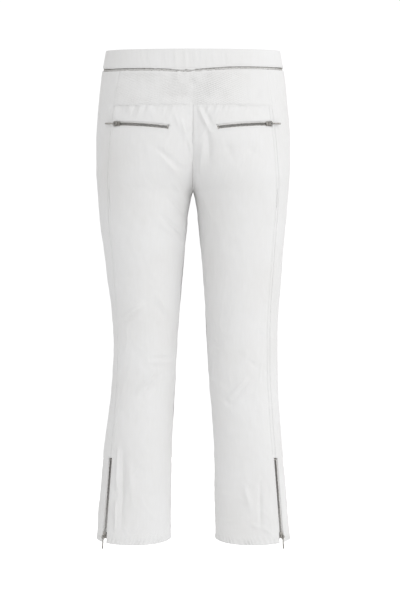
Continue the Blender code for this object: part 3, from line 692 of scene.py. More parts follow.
def plus(first, second):
    return maths("ADD", first, second)


def times(first, second):
    return maths("MULTIPLY", first, second)


def new_material(name, colour, roughness, metallic=0.0, sheen=0.0):
    """A new material, its shader, and the node that gives each point's place."""
    made = bpy.data.materials.new(name)
    made.use_nodes = True
    shader = made.node_tree.nodes["Principled BSDF"]
    connect((*colour, 1.0), shader.inputs["Base Color"])
    for label, value in (("Roughness", roughness), ("Metallic", metallic), ("Sheen Weight", sheen)):
        connect(value, shader.inputs[label])
    place = made.node_tree.nodes.new("ShaderNodeTexCoord")
    return made, shader, place


def colour_between(mask, dark, light, low, high):
    """Two colours mixed by a mask, from all dark at low to all light at high."""
    node = add_node(mask.id_data, "ShaderNodeValToRGB", Fac=mask)
    for stop, colour, place in zip(node.color_ramp.elements, (dark, light), (low, high)):
        stop.position, stop.color = place, (*colour, 1)
    return node.outputs["Color"]


def add_relief(shader, height, strength, distance):
    raised = add_node(shader.id_data, "ShaderNodeBump", Strength=strength, Distance=distance, Height=height)
    connect(raised.outputs["Normal"], shader.inputs["Normal"])


def group_with(name, inputs, outputs):
    """A node group, its input and its output. An input with no default is a vector."""
    tree = bpy.data.node_groups.new(name, "ShaderNodeTree")
    for label, default in inputs:
        kind = "NodeSocketVector" if default is None else "NodeSocketFloat"
        socket = tree.interface.new_socket(label, in_out="INPUT", socket_type=kind)
        if default is not None:
            socket.default_value = default
    for label in outputs:
        tree.interface.new_socket(label, in_out="OUTPUT", socket_type="NodeSocketFloat")
    return tree, tree.nodes.new("NodeGroupInput").outputs, tree.nodes.new("NodeGroupOutput").inputs


def weave_group():
    """A diagonal weave over the flat cloth: its height, and a mask of thread to thread variation."""
    inputs = (("Flat", None), ("Pitch", 0.0009), ("Slope", 1.0))
    tree, given, result = group_with("twill_weave", inputs, ("Height", "Thread"))
    split = add_node(tree, "ShaderNodeSeparateXYZ", Vector=given["Flat"]).outputs
    slanted = plus(split[0], times(split[1], given["Slope"]))
    rib = maths("SINE", times(maths("DIVIDE", slanted, given["Pitch"]), TURN))
    weft = times(maths("DIVIDE", split[1], given["Pitch"]), TURN * 1.7)
    connect(plus(rib, times(maths("SINE", weft), 0.4)), result["Height"])
    stretch = add_node(tree, "ShaderNodeVectorMath", operation="MULTIPLY")
    connect(given["Flat"], stretch.inputs[0])
    stretch.inputs[1].default_value = (1.0, 0.12, 1.0)
    noise = add_node(tree, "ShaderNodeTexNoise", Scale=260.0, Detail=2.0, Vector=stretch.outputs[0])
    connect(noise.outputs["Fac"], result["Thread"])
    return tree


def tone_group():
    """Broad soft changes of tone over the object, and fine specks, as masks from 0 to 1."""
    tree, given, result = group_with("cloth_tone", (("Place", None), ("Patch", 9.0)), ("Broad", "Fine"))
    for label, detail, scale in (("Broad", 3.0, given["Patch"]), ("Fine", 1.0, 900.0)):
        noise = add_node(tree, "ShaderNodeTexNoise", Detail=detail, Vector=given["Place"], Scale=scale)
        connect(noise.outputs["Fac"], result[label])
    return tree


WEAVE = weave_group()
TONE = tone_group()


def fabric(name, light, dark, roughness, pitch, slope, bump, sheen=0.15, flat=True, groove_shade_share=0.0):
    """A woven cloth: its tone drifts between two colours, and its weave is a fine relief. Given a groove
    share, it also takes painted shade, darker along the stitched grooves that the groove attribute marks.
    """
    made, shader, place = new_material(name, light, roughness, sheen=sheen)
    tree = made.node_tree
    connect(0.25, shader.inputs["Specular IOR Level"])
    connect(0.5, shader.inputs["Sheen Roughness"])
    tone = add_node(tree, "ShaderNodeGroup", node_tree=TONE, Place=place.outputs["Object"]).outputs
    weave = add_node(
        tree, "ShaderNodeGroup", node_tree=WEAVE, Pitch=pitch, Slope=slope,
        Flat=place.outputs["UV" if flat else "Object"],
    ).outputs
    mixed = plus(times(tone["Broad"], 0.7), times(weave["Thread"], 0.3))
    colour = colour_between(mixed, dark, light, 0.3, 0.65)
    # painted shade: where the groove attribute is 1 the colour becomes the dark colour made darker by the
    # given share
    if groove_shade_share:
        groove_shade = add_node(tree, "ShaderNodeAttribute", attribute_name="groove_shade")
        shade = add_node(tree, "ShaderNodeMix", data_type="RGBA")
        ends = (groove_shade.outputs["Fac"], colour, (*(v * (1 - groove_shade_share) for v in dark), 1))
        for k, value in zip((0, 6, 7), ends):  # the mask and the two colours among a mix's inputs
            connect(value, shade.inputs[k])
        colour = shade.outputs[2]
    connect(colour, shader.inputs["Base Color"])
    connect(plus(times(tone["Fine"], 0.12), roughness - 0.06), shader.inputs["Roughness"])
    add_relief(shader, plus(weave["Height"], times(tone["Fine"], 1.5)), bump, 0.00012)
    return made


def aged_metal(name, bright, dark, roughness):
    """Nickel that is dull in its recesses and rubbed bright on its high spots."""
    made, shader, place = new_material(name, bright, roughness, metallic=1.0)
    tone = add_node(
        made.node_tree, "ShaderNodeGroup", node_tree=TONE, Patch=420.0, Place=place.outputs["Object"]
    ).outputs
    connect(colour_between(tone["Broad"], dark, bright, 0.35, 0.68), shader.inputs["Base Color"])
    connect(plus(times(tone["Fine"], 0.3), roughness - 0.15), shader.inputs["Roughness"])
    add_relief(shader, tone["Broad"], 0.25, 0.00008)
    return made


WHITE = ((0.80, 0.80, 0.80), (0.765, 0.760, 0.752))
TWILL = fabric("white_twill", *WHITE, 0.85, 0.0008, 1.0, 0.35)
# The yoke's cloth, with painted shade 10% darker along its stitched grooves.
YOKE_TWILL = fabric("stitched_yoke", *WHITE, 0.85, 0.0008, 1.0, 0.35, groove_shade_share=0.10)
LINING = fabric("pocket_lining", (0.78, 0.78, 0.775), (0.74, 0.735, 0.725), 0.9, 0.0005, 0.0, 0.25)
# The tape's whites are lighter than the cloth's to lift the shade of the slots it lies in: white tape with
# painted light.
TAPE = fabric("zip_tape_weave", (0.93, 0.93, 0.92), (0.87, 0.865, 0.855), 0.9, 0.0007, 0.35, 0.5)
ELASTIC = fabric("ribbed_elastic", (0.84, 0.84, 0.82), (0.78, 0.78, 0.76), 0.75, 0.0014, 0.0, 0.6)
THREAD = fabric(
    "topstitch_thread", (0.82, 0.82, 0.82), (0.77, 0.765, 0.757), 0.7, 0.0004, 0.8, 0.3, flat=False
)
NICKEL = aged_metal("aged_nickel", (0.58, 0.56, 0.53), (0.24, 0.23, 0.215), 0.32)
STUD_NICKEL = aged_metal("satin_nickel", (0.52, 0.50, 0.47), (0.30, 0.285, 0.26), 0.40)


# ---------------------------------------------------------------- waist


def waist_ring(left_share, right_share, count):
    """Side and share of each column, from the left end round the back to the right end."""
    left = [(-1.0, s) for s in np.linspace(left_share, -1, count)]
    right = [(1.0, s) for s in np.linspace(-1, right_share, count)]
    return np.array(left + right[1:])


def waist_rows(ring, heights, depths, bulge=None):
    """Rows of points round the waist. bulge gives how far the cloth stands out there."""
    sides, shares = ring[:, 0], ring[:, 1]
    rows = []
    for z, depth in zip(heights, depths):
        zs = np.full(len(sides), z)
        angle = shares * middle_angle(zs)
        base = skin(1, angle, zs)
        x = base[:, 0] * sides
        out = bulge(x, base[:, 1], zs) if bulge else 0.0
        p = skin(1, angle, zs, depth - out)
        p[:, 0] *= sides
        rows.append(p)
    return np.stack(rows)


def share_of(x):
    """How far round the waist a place across is: 0 at the outer side, 1 at the middle."""
    return float(angle_of(abs(x), 0.0) / (math.pi / 2)) if x else 1.0


def band_bulge(x, y, z):
    """Puckers of the elastic: strongest at the middle of the back, dying out to the sides."""
    back = ramp(-y, 0.0, 0.06)
    near = bell(x, 0.055) + 0.35 * bell(x + 0.09, 0.05) + 0.12
    down = (z - BAND_BOTTOM) / -BAND_BOTTOM
    lean = x + 0.004 * down
    wave = ripple(lean / 0.0062, 0 * x + 2, 41) + 0.5 * ripple(lean / 0.0031, down * 1.3, 42)
    soft = 0.35 * MM * ripple(x / 0.03, z / 0.02, 43)
    return back * near * 0.75 * MM * wave * (0.75 - 0.35 * np.cos(TURN * down)) + soft


def yoke_ridge(x, z):
    """Close rows of stitching that cross near the middle: the height from 0 along a row to 1
    between rows, how strong they are at that place, and the thread's own dashes."""
    lean_left = z - 0.27 * x
    lean_right = z + 0.42 * x
    pitch = 3.3 * MM
    drift = 0.35 * ripple(x / 0.02, z / 0.02, 51)
    left = np.abs(np.sin(math.pi * (lean_left / pitch + drift)))
    right = np.abs(np.sin(math.pi * (lean_right / (pitch * 1.15) + drift)))
    share = ramp(x, -0.045, 0.030)
    both = bell(x + 0.005, 0.045)
    dash = 0.5 + 0.5 * np.cos(TURN * x / (2.9 * MM) + 2.4 * np.floor(lean_left / pitch))
    ridge = (1 - share) * left**0.7 + share * right**0.7 * (0.55 + 0.45 * ramp(-x, -0.13, -0.04))
    ridge = ridge - 0.35 * both * (1 - np.minimum(left, right))
    inside = ramp(z, YOKE_BOTTOM + 1.5 * MM, YOKE_BOTTOM + 4 * MM)
    inside = inside * ramp(-z, -YOKE_TOP + 1 * MM, -YOKE_TOP + 4 * MM)
    patch = 0.75 + 0.5 * ripple(x / 0.016 + 3, z / 0.014, 54)
    return ridge, inside * patch * (1 - 0.75 * ramp(x, 0.05, 0.12)), dash * (1 - left)


def yoke_shade_mask(x, z):
    """A mask for painted shade: 1 where the stitching has pulled the cloth down into a groove, less under
    the thread's dashes, 0 between rows and outside the stitching.
    """
    ridge, inside, dash = yoke_ridge(x, z)
    return inside * np.clip(1 - 1.6 * ridge - 0.3 * dash, 0, 1)


def yoke_bulge(x, y, z):
    """The ridges between the rows of stitching, and the yoke's softer waves."""
    ridge, inside, dash = yoke_ridge(x, z)
    soft = yoke_soft(x, y, z) + 0.35 * MM * ripple(x / 0.011, z / 0.03, 53)
    pull = ramp(z, YOKE_BOTTOM, YOKE_TOP)
    pucker = 0.5 * MM * bell(x, 0.05) * pull**3 * ripple(x / 0.0062, 0 * x + 2, 41)
    return inside * (1.15 * MM * ridge + 0.25 * MM * dash) + soft + pucker


def ring_middle(heights, y=WAIST_MIDDLE):
    return np.stack([0 * heights, 0 * heights + y, heights], axis=-1)


def yoke_soft(x, y, z):
    """The broad waves that the yoke shares with its backing."""
    return 0.8 * MM * ripple(x / 0.045, z / 0.05, 52)


def make_waistband():
    ring = waist_ring(share_of(30.6 * MM), share_of(30.5 * MM), 270)
    profile = [(d, BAND_BOTTOM - LAP + off) for off, d in EDGE_TURN]
    profile += [(0.0, z) for z in np.linspace(BAND_BOTTOM - LAP + EDGE_END, -2.2 * MM, 18)]
    top = (
        (0.08, -1.3), (0.35, -0.6), (0.95, -0.12), (1.7, 0.0), (2.9, 0.0), (3.7, -0.12), (4.3, -0.6),
        (4.6, -1.3), (4.6, -1.9),
    )
    profile += [(d * MM, z * MM) for d, z in top]
    depths, heights = (np.array(v) for v in zip(*profile))
    points = waist_rows(ring, heights, depths, band_bulge)
    made = cloth("waistband", "waistband_outer", points, TWILL, ring_middle(heights))
    gather_edge(made, BAND_BOTTOM - LAP, -1, 44)

    heights = np.linspace(-2.3 * MM, BAND_BOTTOM, 14)
    points = waist_rows(ring[::3], heights, np.full(14, 4.6 * MM), band_bulge)
    made = cloth("waistband_inside", "waistband_facing", points, LINING, ring_middle(heights))


def make_yoke():
    heights = [YOKE_TOP + LAP - off for off, _ in EDGE_TURN]
    depths = [d for _, d in EDGE_TURN]
    inner = np.linspace(YOKE_TOP + LAP - EDGE_END, YOKE_BOTTOM + EDGE_END, 124)
    heights += list(inner) + [YOKE_BOTTOM + off for off, _ in EDGE_TURN[::-1]]
    depths += [0.0] * len(inner) + [0.12 * d for _, d in EDGE_TURN[::-1]]
    heights, depths = np.array(heights), np.array(depths)
    columns = 184
    rows = []
    for z, depth in zip(heights, depths):
        reach = float(middle_angle(z))
        limit = (SEAM - CLEAR / float(speed(SEAM, z))) / reach
        ring = waist_ring(limit, limit, columns)
        rows.append(waist_rows(ring, [z], [depth], yoke_bulge)[0])
    made = cloth("yoke", "back_yoke", np.stack(rows), YOKE_TWILL, ring_middle(heights))
    gather_edge(made, YOKE_TOP + LAP, 1, 45)
    # The grooves of the stitching, kept on the mesh for the painted shade in the yoke's material.
    groove_shade = made.data.attributes.new("groove_shade", "FLOAT", "POINT")
    groove_shade.data.foreach_set("value", yoke_shade_mask(*points_of(made).T[::2]).astype(np.float32))


# ---------------------------------------------------------------- cloth inside the garment


def along_track(track, xs, ys, lifts):
    """Rows of points over a zip's line: a row for each x, a column for each y and its lift."""
    local = np.stack([np.zeros(len(ys)), ys, lifts], axis=-1)
    rows = []
    for x in xs:
        place = np.array(track.frame(x))
        rows.append(local @ place[:3, :3].T + place[:3, 3])
    return np.stack(rows)


def settle(points, depth):
    """The same points moved to lie that deep under the cloth's face."""
    cx, a, cy, b = section(points[..., 2])
    angle = np.arctan2((points[..., 1] - cy) / b, (np.abs(points[..., 0]) - cx) / a)
    side = np.sign(points[..., 0])
    laid = skin(1, angle, points[..., 2], depth)
    laid[..., 0] *= side
    return laid


def behind(track, points, distance=0.05):
    return points[:, points.shape[1] // 2] - np.array(track.out) * distance


def tape_end(travel):
    """Where a zip's tape ends, past its slider's far end and its stops."""
    return -(travel + SLIDER_HALF + 2 * STOP_HALF + 0.9 * MM)


def make_zip_tape(name, node, track, stop, on_skin=True):
    """A woven tape on each side of the teeth, with a corded edge that the teeth clench."""
    half = np.array([13.0, 12.4, 10.5, 8.5, 6.8, 5.4, 4.4, 3.8, 3.4, 3.0, 2.7]) * MM
    cord = np.array([0.0, 0, 0, 0, 0, 0, 0.05, 0.3, 0.42, 0.3, 0.0]) * MM
    ys = np.concatenate([-half, half[::-1]])
    lifts = np.concatenate([cord, cord[::-1]]) + 0.3 * MM
    xs = np.concatenate([np.linspace(CHAIN_START, stop, 60), stop - np.array([1.0, 3.0, 6.0]) * MM])
    points = along_track(track, xs, ys, lifts)
    if on_skin:
        share = ramp(np.abs(ys), 4.5 * MM, 13 * MM)[None, :, None]
        points = points * (1 - share) + settle(points, TAPE_DEPTH - 0.3 * MM) * share
    keep = np.ones((len(xs) - 1, len(ys) - 1), bool)
    keep[:60, len(half) - 1] = False
    made = cloth(name, node, points, TAPE, behind(track, points), keep, thickness=THIN)


def make_pocket_bag(word, side):
    """Two layers of lining sewn together at their sides and folded at the bottom."""
    xs = np.linspace(45 * MM, 151 * MM, 46)
    near, far, middle = 6.2 * MM, 16.4 * MM, 11.3 * MM
    top, bottom = -158.5 * MM, -246 * MM
    down = [(z, -1.0) for z in np.linspace(top, bottom, 30)]
    turns = np.linspace(0.35, math.pi - 0.35, 9)
    fold_round = [(bottom - (3 + 1.8 * math.sin(u)) * MM, -math.cos(u)) for u in turns]
    up = [(z, 1.0) for z in np.linspace(bottom, top, 30)]
    closing = np.sqrt(np.clip(1 - np.abs(np.linspace(-1, 1, len(xs))) ** 5, 0.004, 1))
    rows = []
    for z, way in down + fold_round + up:
        zs = np.full(len(xs), z)
        rise = ramp(zs, -0.252, -0.225) * 0.35 + 0.65
        half = (far - near) / 2 * way * closing * rise
        limp = 0.5 * MM * ripple(xs / 0.018, zs / 0.022 + 5 * way, 61 + side)
        rows.append(skin(side, -angle_of(xs, zs), zs, middle + half + limp * closing))
    points = np.stack(rows)
    centre = np.tile(points.mean(axis=(0, 1)), (len(rows), 1))
    node = f"back_pocket_bag_{word}"
    made = cloth(f"pocket_bag_{word}", node, points, LINING, centre, thickness=THIN)


def edged(low, high, count):
    """Steps from low to high that are close together at both ends."""
    inner = np.linspace(low + 1.2 * MM, high - 1.2 * MM, count)
    ends = np.array([0.0, 0.25, 0.6]) * MM
    return np.concatenate([low + ends, inner, high - ends[::-1]])


def make_fly_cloth():
    """The facing and the shield behind the fly's zip, a little wavy."""
    reach = -(FLY_TRAVEL - SLIDER_HALF + 25 * MM)
    xs = edged(reach, 5.5 * MM, 60)
    for part, ys, lift, thickness, wave in (
        ("facing", edged(-36 * MM, -6.5 * MM, 18), 5.2 * MM, 1.0 * MM, 0.25 * MM),
        ("shield", edged(-22 * MM, 30 * MM, 26), -3.6 * MM, 1.2 * MM, 0.3 * MM),
    ):
        points = along_track(FLY, xs, ys, np.full(len(ys), lift))
        moved = ripple(points[..., 0] / 0.02, points[..., 2] / 0.03, 71) * wave
        points = points + moved[..., None] * np.array(FLY.out)
        middle = behind(FLY, points)
        made = cloth(f"fly_inside_{part}", f"fly_{part}", points, LINING, middle, thickness=thickness)


def around_front(heights, depths, x_low, x_high, count):
    """Rows over the middle of the front between two places across."""
    xs = edged(x_low, x_high, count)
    rows = []
    for z, depth in zip(heights, depths):
        zs = np.full(len(xs), z)
        points = skin(1, angle_of(np.abs(xs), zs), zs, depth)
        points[:, 0] = xs
        rows.append(points)
    return np.stack(rows)


def make_tab():
    """The lapped end of the waistband, a folded strip, and the underlap that it closes on."""
    low = BAND_BOTTOM + GAP
    for name, node, body, deep, thick in (
        ("waist_lap", "waist_tab", "waist_tab", 0.0, 1.4 * MM),
        ("waist_under_lap", "waist_underlap", "pants", 4.4 * MM, 1.2 * MM),
    ):
        heights = edged(low, -GAP, 16)[::-1]
        fall = np.minimum(heights - low, -GAP - heights)
        depths = deep + 0.3 * MM * np.exp(-fall / (0.3 * MM))
        points = around_front(heights, depths, -29.8 * MM, 29.8 * MM, 40)
        middle = ring_middle(heights, 0.0)
        made = cloth(name, node, points, TWILL, middle, thickness=thick, body=body)


def make_label():
    """A blank label sewn in at the top, hanging inside the middle of the back."""
    low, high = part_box("care_label")
    heights = edged(low.z, high.z, 22)[::-1]
    xs = edged(-14 * MM, 14 * MM, 10)
    share = (heights - low.z) / (high.z - low.z)
    ys = low.y + (high.y - low.y) * (1 - share) * 0.9 + 0.3 * MM
    rows = []
    for z, y, s in zip(heights, ys, share):
        curl = 1.4 * MM * (1 - s) ** 2 * (xs / (14 * MM)) ** 2
        rows.append(np.stack([xs, y + curl + 0 * xs, np.full(len(xs), z)], axis=-1))
    points = np.stack(rows)
    behind_it = points[:, 5] - np.array([0, 0.05, 0])
    made = cloth("blank_label", "care_label", points, LINING, behind_it, thickness=0.35 * MM)


def hang_waist(made):
    """Lets the band, the waist zip and the yoke under it hang a little at the middle of the back."""
    points = points_of(made)
    x, y, z = points.T
    upper = ramp(-z, 0.004, -BAND_BOTTOM - 2 * MM)
    lower = ramp(z, YOKE_BOTTOM + 4 * MM, YOKE_TOP)
    low = 3.6 * MM * bell(x + 0.004, 0.062) + 3.0 * MM * ramp(-x, -0.09, 0.04)
    points[:, 2] -= low * upper * lower * ramp(-y, -0.01, 0.05)
    move_points(made, points)


def gather_edge(made, edge, way, seed):
    """Puckers an edge beside the waist zip, so that it laps the teeth here and there."""
    points = points_of(made)
    x, y, z = points.T
    near = bell(x - 0.004, 0.045) + 0.25 * bell(x + 0.10, 0.05) + 0.1
    wave = ramp(ripple(x / 0.0065, 0 * x + 3, seed), -0.1, 0.6) * near * ramp(-y, 0.0, 0.05)
    points[:, 2] += way * 1.9 * MM * wave * bell(z - edge, 4 * MM)
    move_points(made, points)


def make_hidden_bands():
    """The elastic in the waistband, the tape of the waist zip and the yoke's backing."""
    ring = waist_ring(0.22, 0.22, 110)
    ring[:, 1] = -np.abs(ring[:, 1])
    ring = ring[1:-1]
    heights = np.linspace(-4 * MM, -29 * MM, 52)
    depths = 1.75 * MM + 0.12 * MM * (1 + np.sin(np.arange(52) * math.pi / 2))
    points = waist_rows(ring, heights, depths)
    middle = ring_middle(heights)
    made = cloth("waist_band_elastic", "waist_elastic", points, ELASTIC, middle, thickness=1.1 * MM)

    edge = share_of(4 * MM)
    heights = np.linspace(BAND_BOTTOM + 1.5 * MM, BAND_BOTTOM - 9 * MM, 12)
    points = waist_rows(waist_ring(edge, edge, 160), heights, np.full(12, 2.8 * MM))
    made = cloth("waist_trim_tape", "waist_zip_tape", points, TAPE, ring_middle(heights), thickness=THIN)

    heights = np.linspace(YOKE_TOP - 3 * MM, YOKE_BOTTOM, 30)
    rows = []
    for z in heights:
        limit = (SEAM - GAP / float(speed(SEAM, z))) / float(middle_angle(z))
        rows.append(waist_rows(waist_ring(limit, limit, 90), [z], [1.75 * MM], yoke_soft)[0])
    points = np.stack(rows)
    made = cloth("yoke_inside", "yoke_backing", points, LINING, ring_middle(heights), thickness=0.8 * MM)


# ---------------------------------------------------------------- teeth and stitches


def many(name, shape, places, finish, *replaced):
    """One mesh of a small shape repeated at many places, each a 4x4 matrix."""
    points = np.array([v.co for v in shape.data.vertices])
    faces = [list(f.vertices) for f in shape.data.polygons]
    places = np.array(places)
    moved = np.einsum("nij,vj->nvi", places[:, :3, :3], points) + places[:, None, :3, 3]
    all_faces = [[v + k * len(points) for v in f] for k in range(len(places)) for f in faces]
    finish_piece(add_mesh(name, moved.reshape(-1, 3), all_faces), finish, *replaced)


def make_tooth():
    """A zip tooth: clenched on the tape's cord at its root, with a narrower, rounded head."""
    bpy.ops.object.select_all(action="DESELECT")
    bpy.ops.mesh.primitive_cube_add(size=1, scale=(1.3 * MM, 2.57 * MM, 2.3 * MM))
    made = bpy.context.object
    bpy.ops.object.transform_apply(scale=True)
    bpy.ops.object.mode_set(mode="EDIT")
    bpy.ops.mesh.select_all(action="SELECT")
    bpy.ops.transform.translate(value=(0, 1.67 * MM, 0))
    bpy.ops.mesh.select_all(action="DESELECT")
    bpy.ops.object.mode_set(mode="OBJECT")
    for face in made.data.polygons:
        face.select = face.normal.y < -0.5
    bpy.ops.object.mode_set(mode="EDIT")
    bpy.ops.transform.resize(value=(0.82, 1, 0.66))
    bpy.ops.mesh.select_all(action="SELECT")
    bpy.ops.mesh.bevel(offset=0.22 * MM, segments=1)
    bpy.ops.object.mode_set(mode="OBJECT")
    made.data.polygons.foreach_set("use_smooth", [True] * len(made.data.polygons))
    return made


def make_stitch():
    """A stitch of thread: a low rounded loop that dives into the cloth at both ends."""
    bpy.ops.object.select_all(action="DESELECT")
    bpy.ops.mesh.primitive_uv_sphere_add(segments=6, ring_count=5, radius=1.0)
    made = bpy.context.object
    made.data.transform(Matrix.Rotation(math.pi / 2, 4, "Y"))
    made.data.transform(Matrix.Diagonal((1.42 * MM, 0.26 * MM, 0.24 * MM, 1)))
    made.data.polygons.foreach_set("use_smooth", [True] * len(made.data.polygons))
    return made


def make_chain(track, prefix, suffix, travel):
    """Both rows of teeth of a zip, clenched into each other by half a pitch."""
    end = -(travel + SLIDER_HALF)
    for word, turned in (("upper", False), ("lower", True)):
        places = []
        x = CHAIN_START - 0.9 * MM - (TOOTH_PITCH / 2 if turned else 0)
        while x > end + 0.3 * MM:
            place = track.frame(x)
            places.append(np.array(place @ ACROSS if turned else place))
            x -= TOOTH_PITCH
        many(f"{prefix}_chain_{word}{suffix}", TOOTH, places, NICKEL, f"{prefix}_zip_teeth_{word}{suffix}")


def waist_line(z):
    """Points round the waist at a height, and the way out of the cloth at each."""
    edge = share_of(2.5 * MM)
    ring = waist_ring(edge, edge, 700)
    angle = ring[:, 1] * middle_angle(z)
    base, out = skin(1, angle, z), outward(1, angle, z)
    base[:, 0] *= ring[:, 0]
    out[:, 0] *= ring[:, 0]
    return base, out


def frames_along(base, out, pitch, first=0.5):
    """A 4x4 place at each pitch along a line of points, x along it and z outwards."""
    steps = np.concatenate([[0.0], np.linalg.norm(np.diff(base, axis=0), axis=-1).cumsum()])
    at = np.arange(first * pitch, steps[-1], pitch)

    def at_steps(values, on=0.0):
        return np.stack([np.interp(at + on * pitch, steps, values[:, k]) for k in range(3)], axis=-1)

    normal = at_steps(out)
    along = at_steps(base, 0.3) - at_steps(base, -0.3)
    along /= np.linalg.norm(along, axis=-1, keepdims=True)
    normal -= along * (normal * along).sum(axis=-1, keepdims=True)
    normal /= np.linalg.norm(normal, axis=-1, keepdims=True)
    frames = np.zeros((len(at), 4, 4))
    frames[:, :3] = np.stack([along, np.cross(normal, along), normal, at_steps(base)], axis=-1)
    frames[:, 3, 3] = 1
    return frames


WAIST_CHAIN_DEPTH = 3.0 * MM


def make_waist_chain():
    z = BAND_BOTTOM - GAP - 3 * MM
    base, out = waist_line(z)
    base = base - out * WAIST_CHAIN_DEPTH
    upper = frames_along(base, out, TOOTH_PITCH, 0.5)
    lower = frames_along(base, out, TOOTH_PITCH, 1.0) @ np.array(ACROSS)
    many("waist_trim_teeth", TOOTH, np.concatenate([upper, lower]), NICKEL, "waist_zip_teeth")


def stitch_frames(side, angle, z, bulge=None):
    """Places of stitches along a line of (angle, z) on the outer cloth of one side."""
    angle, z = np.broadcast_arrays(np.asarray(angle, float), np.asarray(z, float))
    if bulge:
        flat = skin(1, angle, z)
        raised = bulge(flat[..., 0] * side, flat[..., 1], z)
    else:
        raised = relief(side, angle, z)
    return frames_along(skin(side, angle, z, -0.12 * MM - raised), outward(side, angle, z), STITCH_PITCH)


def beside(angle, z, off):
    """The angle of a line that runs beside another at a distance."""
    return angle + off / speed(angle, z)


def leg_stitches(word, side):
    """The lines of stitching on a leg: side seam, ankle slot, hem, yoke seam and pocket."""
    z = np.linspace(YOKE_BOTTOM - 3 * MM, ANKLE_SLOT_TOP + 8 * MM, 400)
    lines = [stitch_frames(side, beside(SEAM, z, off), z) for off in (-1.7 * MM, -7.6 * MM)]
    top = ANKLE_SLOT_TOP + 2.5 * MM
    off = SLOT_HALF + STITCH_IN
    z = np.linspace(top, HEM + HEM_DEPTH, 120)
    lines += [stitch_frames(side, beside(SEAM, z, way * off), z) for way in (-1, 1)]
    across = np.linspace(-off, off, 12)
    lines.append(stitch_frames(side, SEAM + across / float(speed(SEAM, top)), top))
    back = np.linspace(-middle_angle(HEM) + 0.03, SEAM - 0.13, 200)
    front = np.linspace(SEAM + 0.13, middle_angle(HEM) - 0.03, 240)
    lines += [stitch_frames(side, angle, hem_height(angle) + HEM_DEPTH) for angle in (back, front)]
    angle = np.linspace(-middle_angle(YOKE_BOTTOM) + 0.03, SEAM - 0.03, 260)
    lines.append(stitch_frames(side, angle, YOKE_BOTTOM - GAP - STITCH_IN))
    return lines + pocket_stitches(word, side)


def seat_stitches():
    """The lines of stitching beside the seat seam, on the fly, on the yoke's edges and on the band."""
    z = np.linspace(YOKE_BOTTOM - 3 * MM, -0.262, 160)
    lines = []
    for off in (1.6 * MM, 7.8 * MM):
        lines.append(stitch_frames(1, -middle_angle(z) + off / speed(math.pi, z), z))
    z = np.linspace(YOKE_TOP - 4 * MM, -0.175, 120)
    for off in (32 * MM, 26.5 * MM):
        bend = off * np.sqrt(np.clip(1 - (np.clip(-0.135 - z, 0, None) / 0.041) ** 2, 0, 1))
        lines.append(stitch_frames(1, angle_of(np.maximum(bend, 1 * MM), z), z))
    for side in (-1, 1):
        angle = np.linspace(0.01 - float(middle_angle(YOKE_BOTTOM)), SEAM - 0.02, 260)
        for z in (YOKE_BOTTOM + 2 * MM, YOKE_TOP - 2 * MM):
            lines.append(stitch_frames(side, angle, z, yoke_bulge))
        reach = float(middle_angle(BAND_BOTTOM))
        angle = np.linspace(-reach, share_of(34 * MM) * reach, 420)
        lines.append(stitch_frames(side, angle, BAND_BOTTOM + STITCH_IN, band_bulge))
    return lines


def pocket_stitches(word, side):
    """A line of stitching round the pocket's slit."""
    track = POCKET[word]
    angles = []
    for x in (-(POCKET_TRAVEL + SLOT_PAST + 2.4 * MM), SLIDER_HALF + 4.4 * MM):
        p = track.frame(x).translation
        angles.append(-float(angle_of(abs(p.x), p.z)))
    offs = (SLOT_HALF + 2.3 * MM, -(SLOT_HALF + 2.3 * MM))
    run = np.linspace(*angles, 80)
    lines = [stitch_frames(side, run, slot_height(side, run, track, off, POCKET_Z)) for off in offs]
    for angle in angles:
        ends = [float(slot_height(side, angle, track, off, POCKET_Z)) for off in offs]
        lines.append(stitch_frames(side, angle, np.linspace(*ends, 10)))
    return lines


# ---------------------------------------------------------------- light, floor and camera


def add_floor():
    bpy.ops.object.select_all(action="DESELECT")
    bpy.ops.mesh.primitive_circle_add(vertices=96, radius=14, fill_type="NGON", location=(0, 0, -1.25))
    floor = bpy.context.object
    floor.name = "studio_floor"
    made, shader, _ = new_material("pale_floor", (0.9, 0.9, 0.9), 1.0)
    connect(0.0, shader.inputs["Specular IOR Level"])
    connect((1, 1, 1, 1), shader.inputs["Emission Color"])
    path = made.node_tree.nodes.new("ShaderNodeLightPath")
    connect(times(path.outputs["Is Camera Ray"], 0.8), shader.inputs["Emission Strength"])
    floor.data.materials.append(made)


def add_sky():
    """White to look at. As a light it is brighter on the right, behind the wearer and above."""
    world = bpy.data.worlds.new("white_room")
    bpy.context.scene.world = world
    world.use_nodes = True
    tree = world.node_tree
    sky = tree.nodes["Background"].inputs
    sky["Color"].default_value = (1, 1, 1, 1)
    path = tree.nodes.new("ShaderNodeLightPath")
    place = tree.nodes.new("ShaderNodeTexCoord")
    x, y, z = add_node(tree, "ShaderNodeSeparateXYZ", Vector=place.outputs["Generated"]).outputs
    light = plus(plus(plus(times(x, 0.21), 0.865), times(y, -0.16)), times(z, 0.10))
    seen = times(maths("SUBTRACT", 1.05, light), path.outputs["Is Camera Ray"])
    connect(plus(light, seen), sky["Strength"])


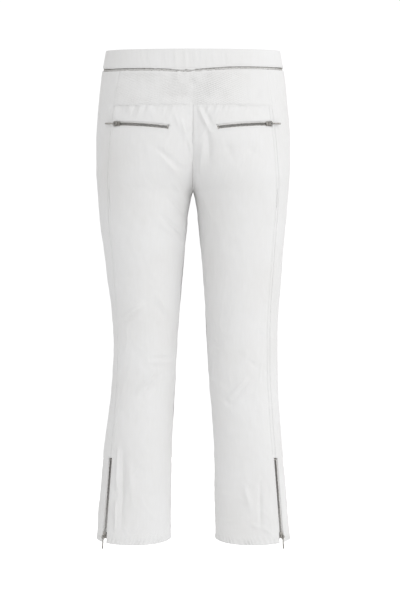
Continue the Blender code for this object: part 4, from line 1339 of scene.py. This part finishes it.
def add_light(name, place, aim, size, energy):
    data = bpy.data.lights.new(name, "AREA")
    data.shape = "DISK"
    data.size = size
    data.energy = energy
    light = bpy.data.objects.new(name, data)
    bpy.context.scene.collection.objects.link(light)
    light.location = place
    light.rotation_euler = (Vector(aim) - Vector(place)).to_track_quat("-Z", "Y").to_euler()


def add_camera():
    distance, seen = 9.0, 1.152  # seen is how much of the garment's plane fills the picture's height
    data = bpy.data.cameras.new("camera")
    data.lens = data.sensor_width * distance / seen
    camera = bpy.data.objects.new("camera", data)
    bpy.context.scene.collection.objects.link(camera)
    camera.location = (0.0134, -distance, -0.478)
    camera.rotation_euler = (math.pi / 2, 0, 0)
    bpy.context.scene.camera = camera


TOOTH, STITCH = make_tooth(), make_stitch()
for word, side in SIDES:
    for face in ("back", "front"):
        make_leg_panel(word, side, face)
    make_pocket_bag(word, side)
    zips = (("pocket", POCKET[word], POCKET_TRAVEL), ("ankle", ANKLE[word], ANKLE_TRAVEL))
    for prefix, track, travel in zips:
        name, node = f"{prefix}_tape_{word}", f"{prefix}_zip_tape_{word}"
        make_zip_tape(name, node, track, tape_end(travel))
        make_chain(track, prefix, f"_{word}", travel)
make_zip_tape("fly_tape", "fly_zip_tape", FLY, tape_end(FLY_TRAVEL), on_skin=False)
make_chain(FLY, "fly", "", FLY_TRAVEL)
make_waistband()
make_yoke()
make_hidden_bands()
make_fly_cloth()
make_tab()
make_label()
make_waist_chain()
for word, side in SIDES:
    many(f"leg_topstitch_{word}", STITCH, np.concatenate(leg_stitches(word, side)), THREAD)
many("seat_topstitch", STITCH, np.concatenate(seat_stitches()), THREAD)
for made in (TOOTH, STITCH):
    bpy.data.objects.remove(made, do_unlink=True)
for made in bpy.context.scene.objects:
    if made.type == "MESH" and made.name not in nodes:
        hang_waist(made)

METAL = {"snap_metal": STUD_NICKEL, "zip_metal": NICKEL}
for name, node in nodes.items():
    kind = node.data.materials[0].name.split(".")[0]
    if kind in METAL:
        node.data.materials.clear()
        node.data.materials.append(METAL[kind])

add_floor()
add_sky()
add_light("key", (2.3, -2.2, 0.7), (0, 0, -0.45), 1.0, 14)
add_camera()
bpy.context.scene.view_settings.view_transform = "Standard"
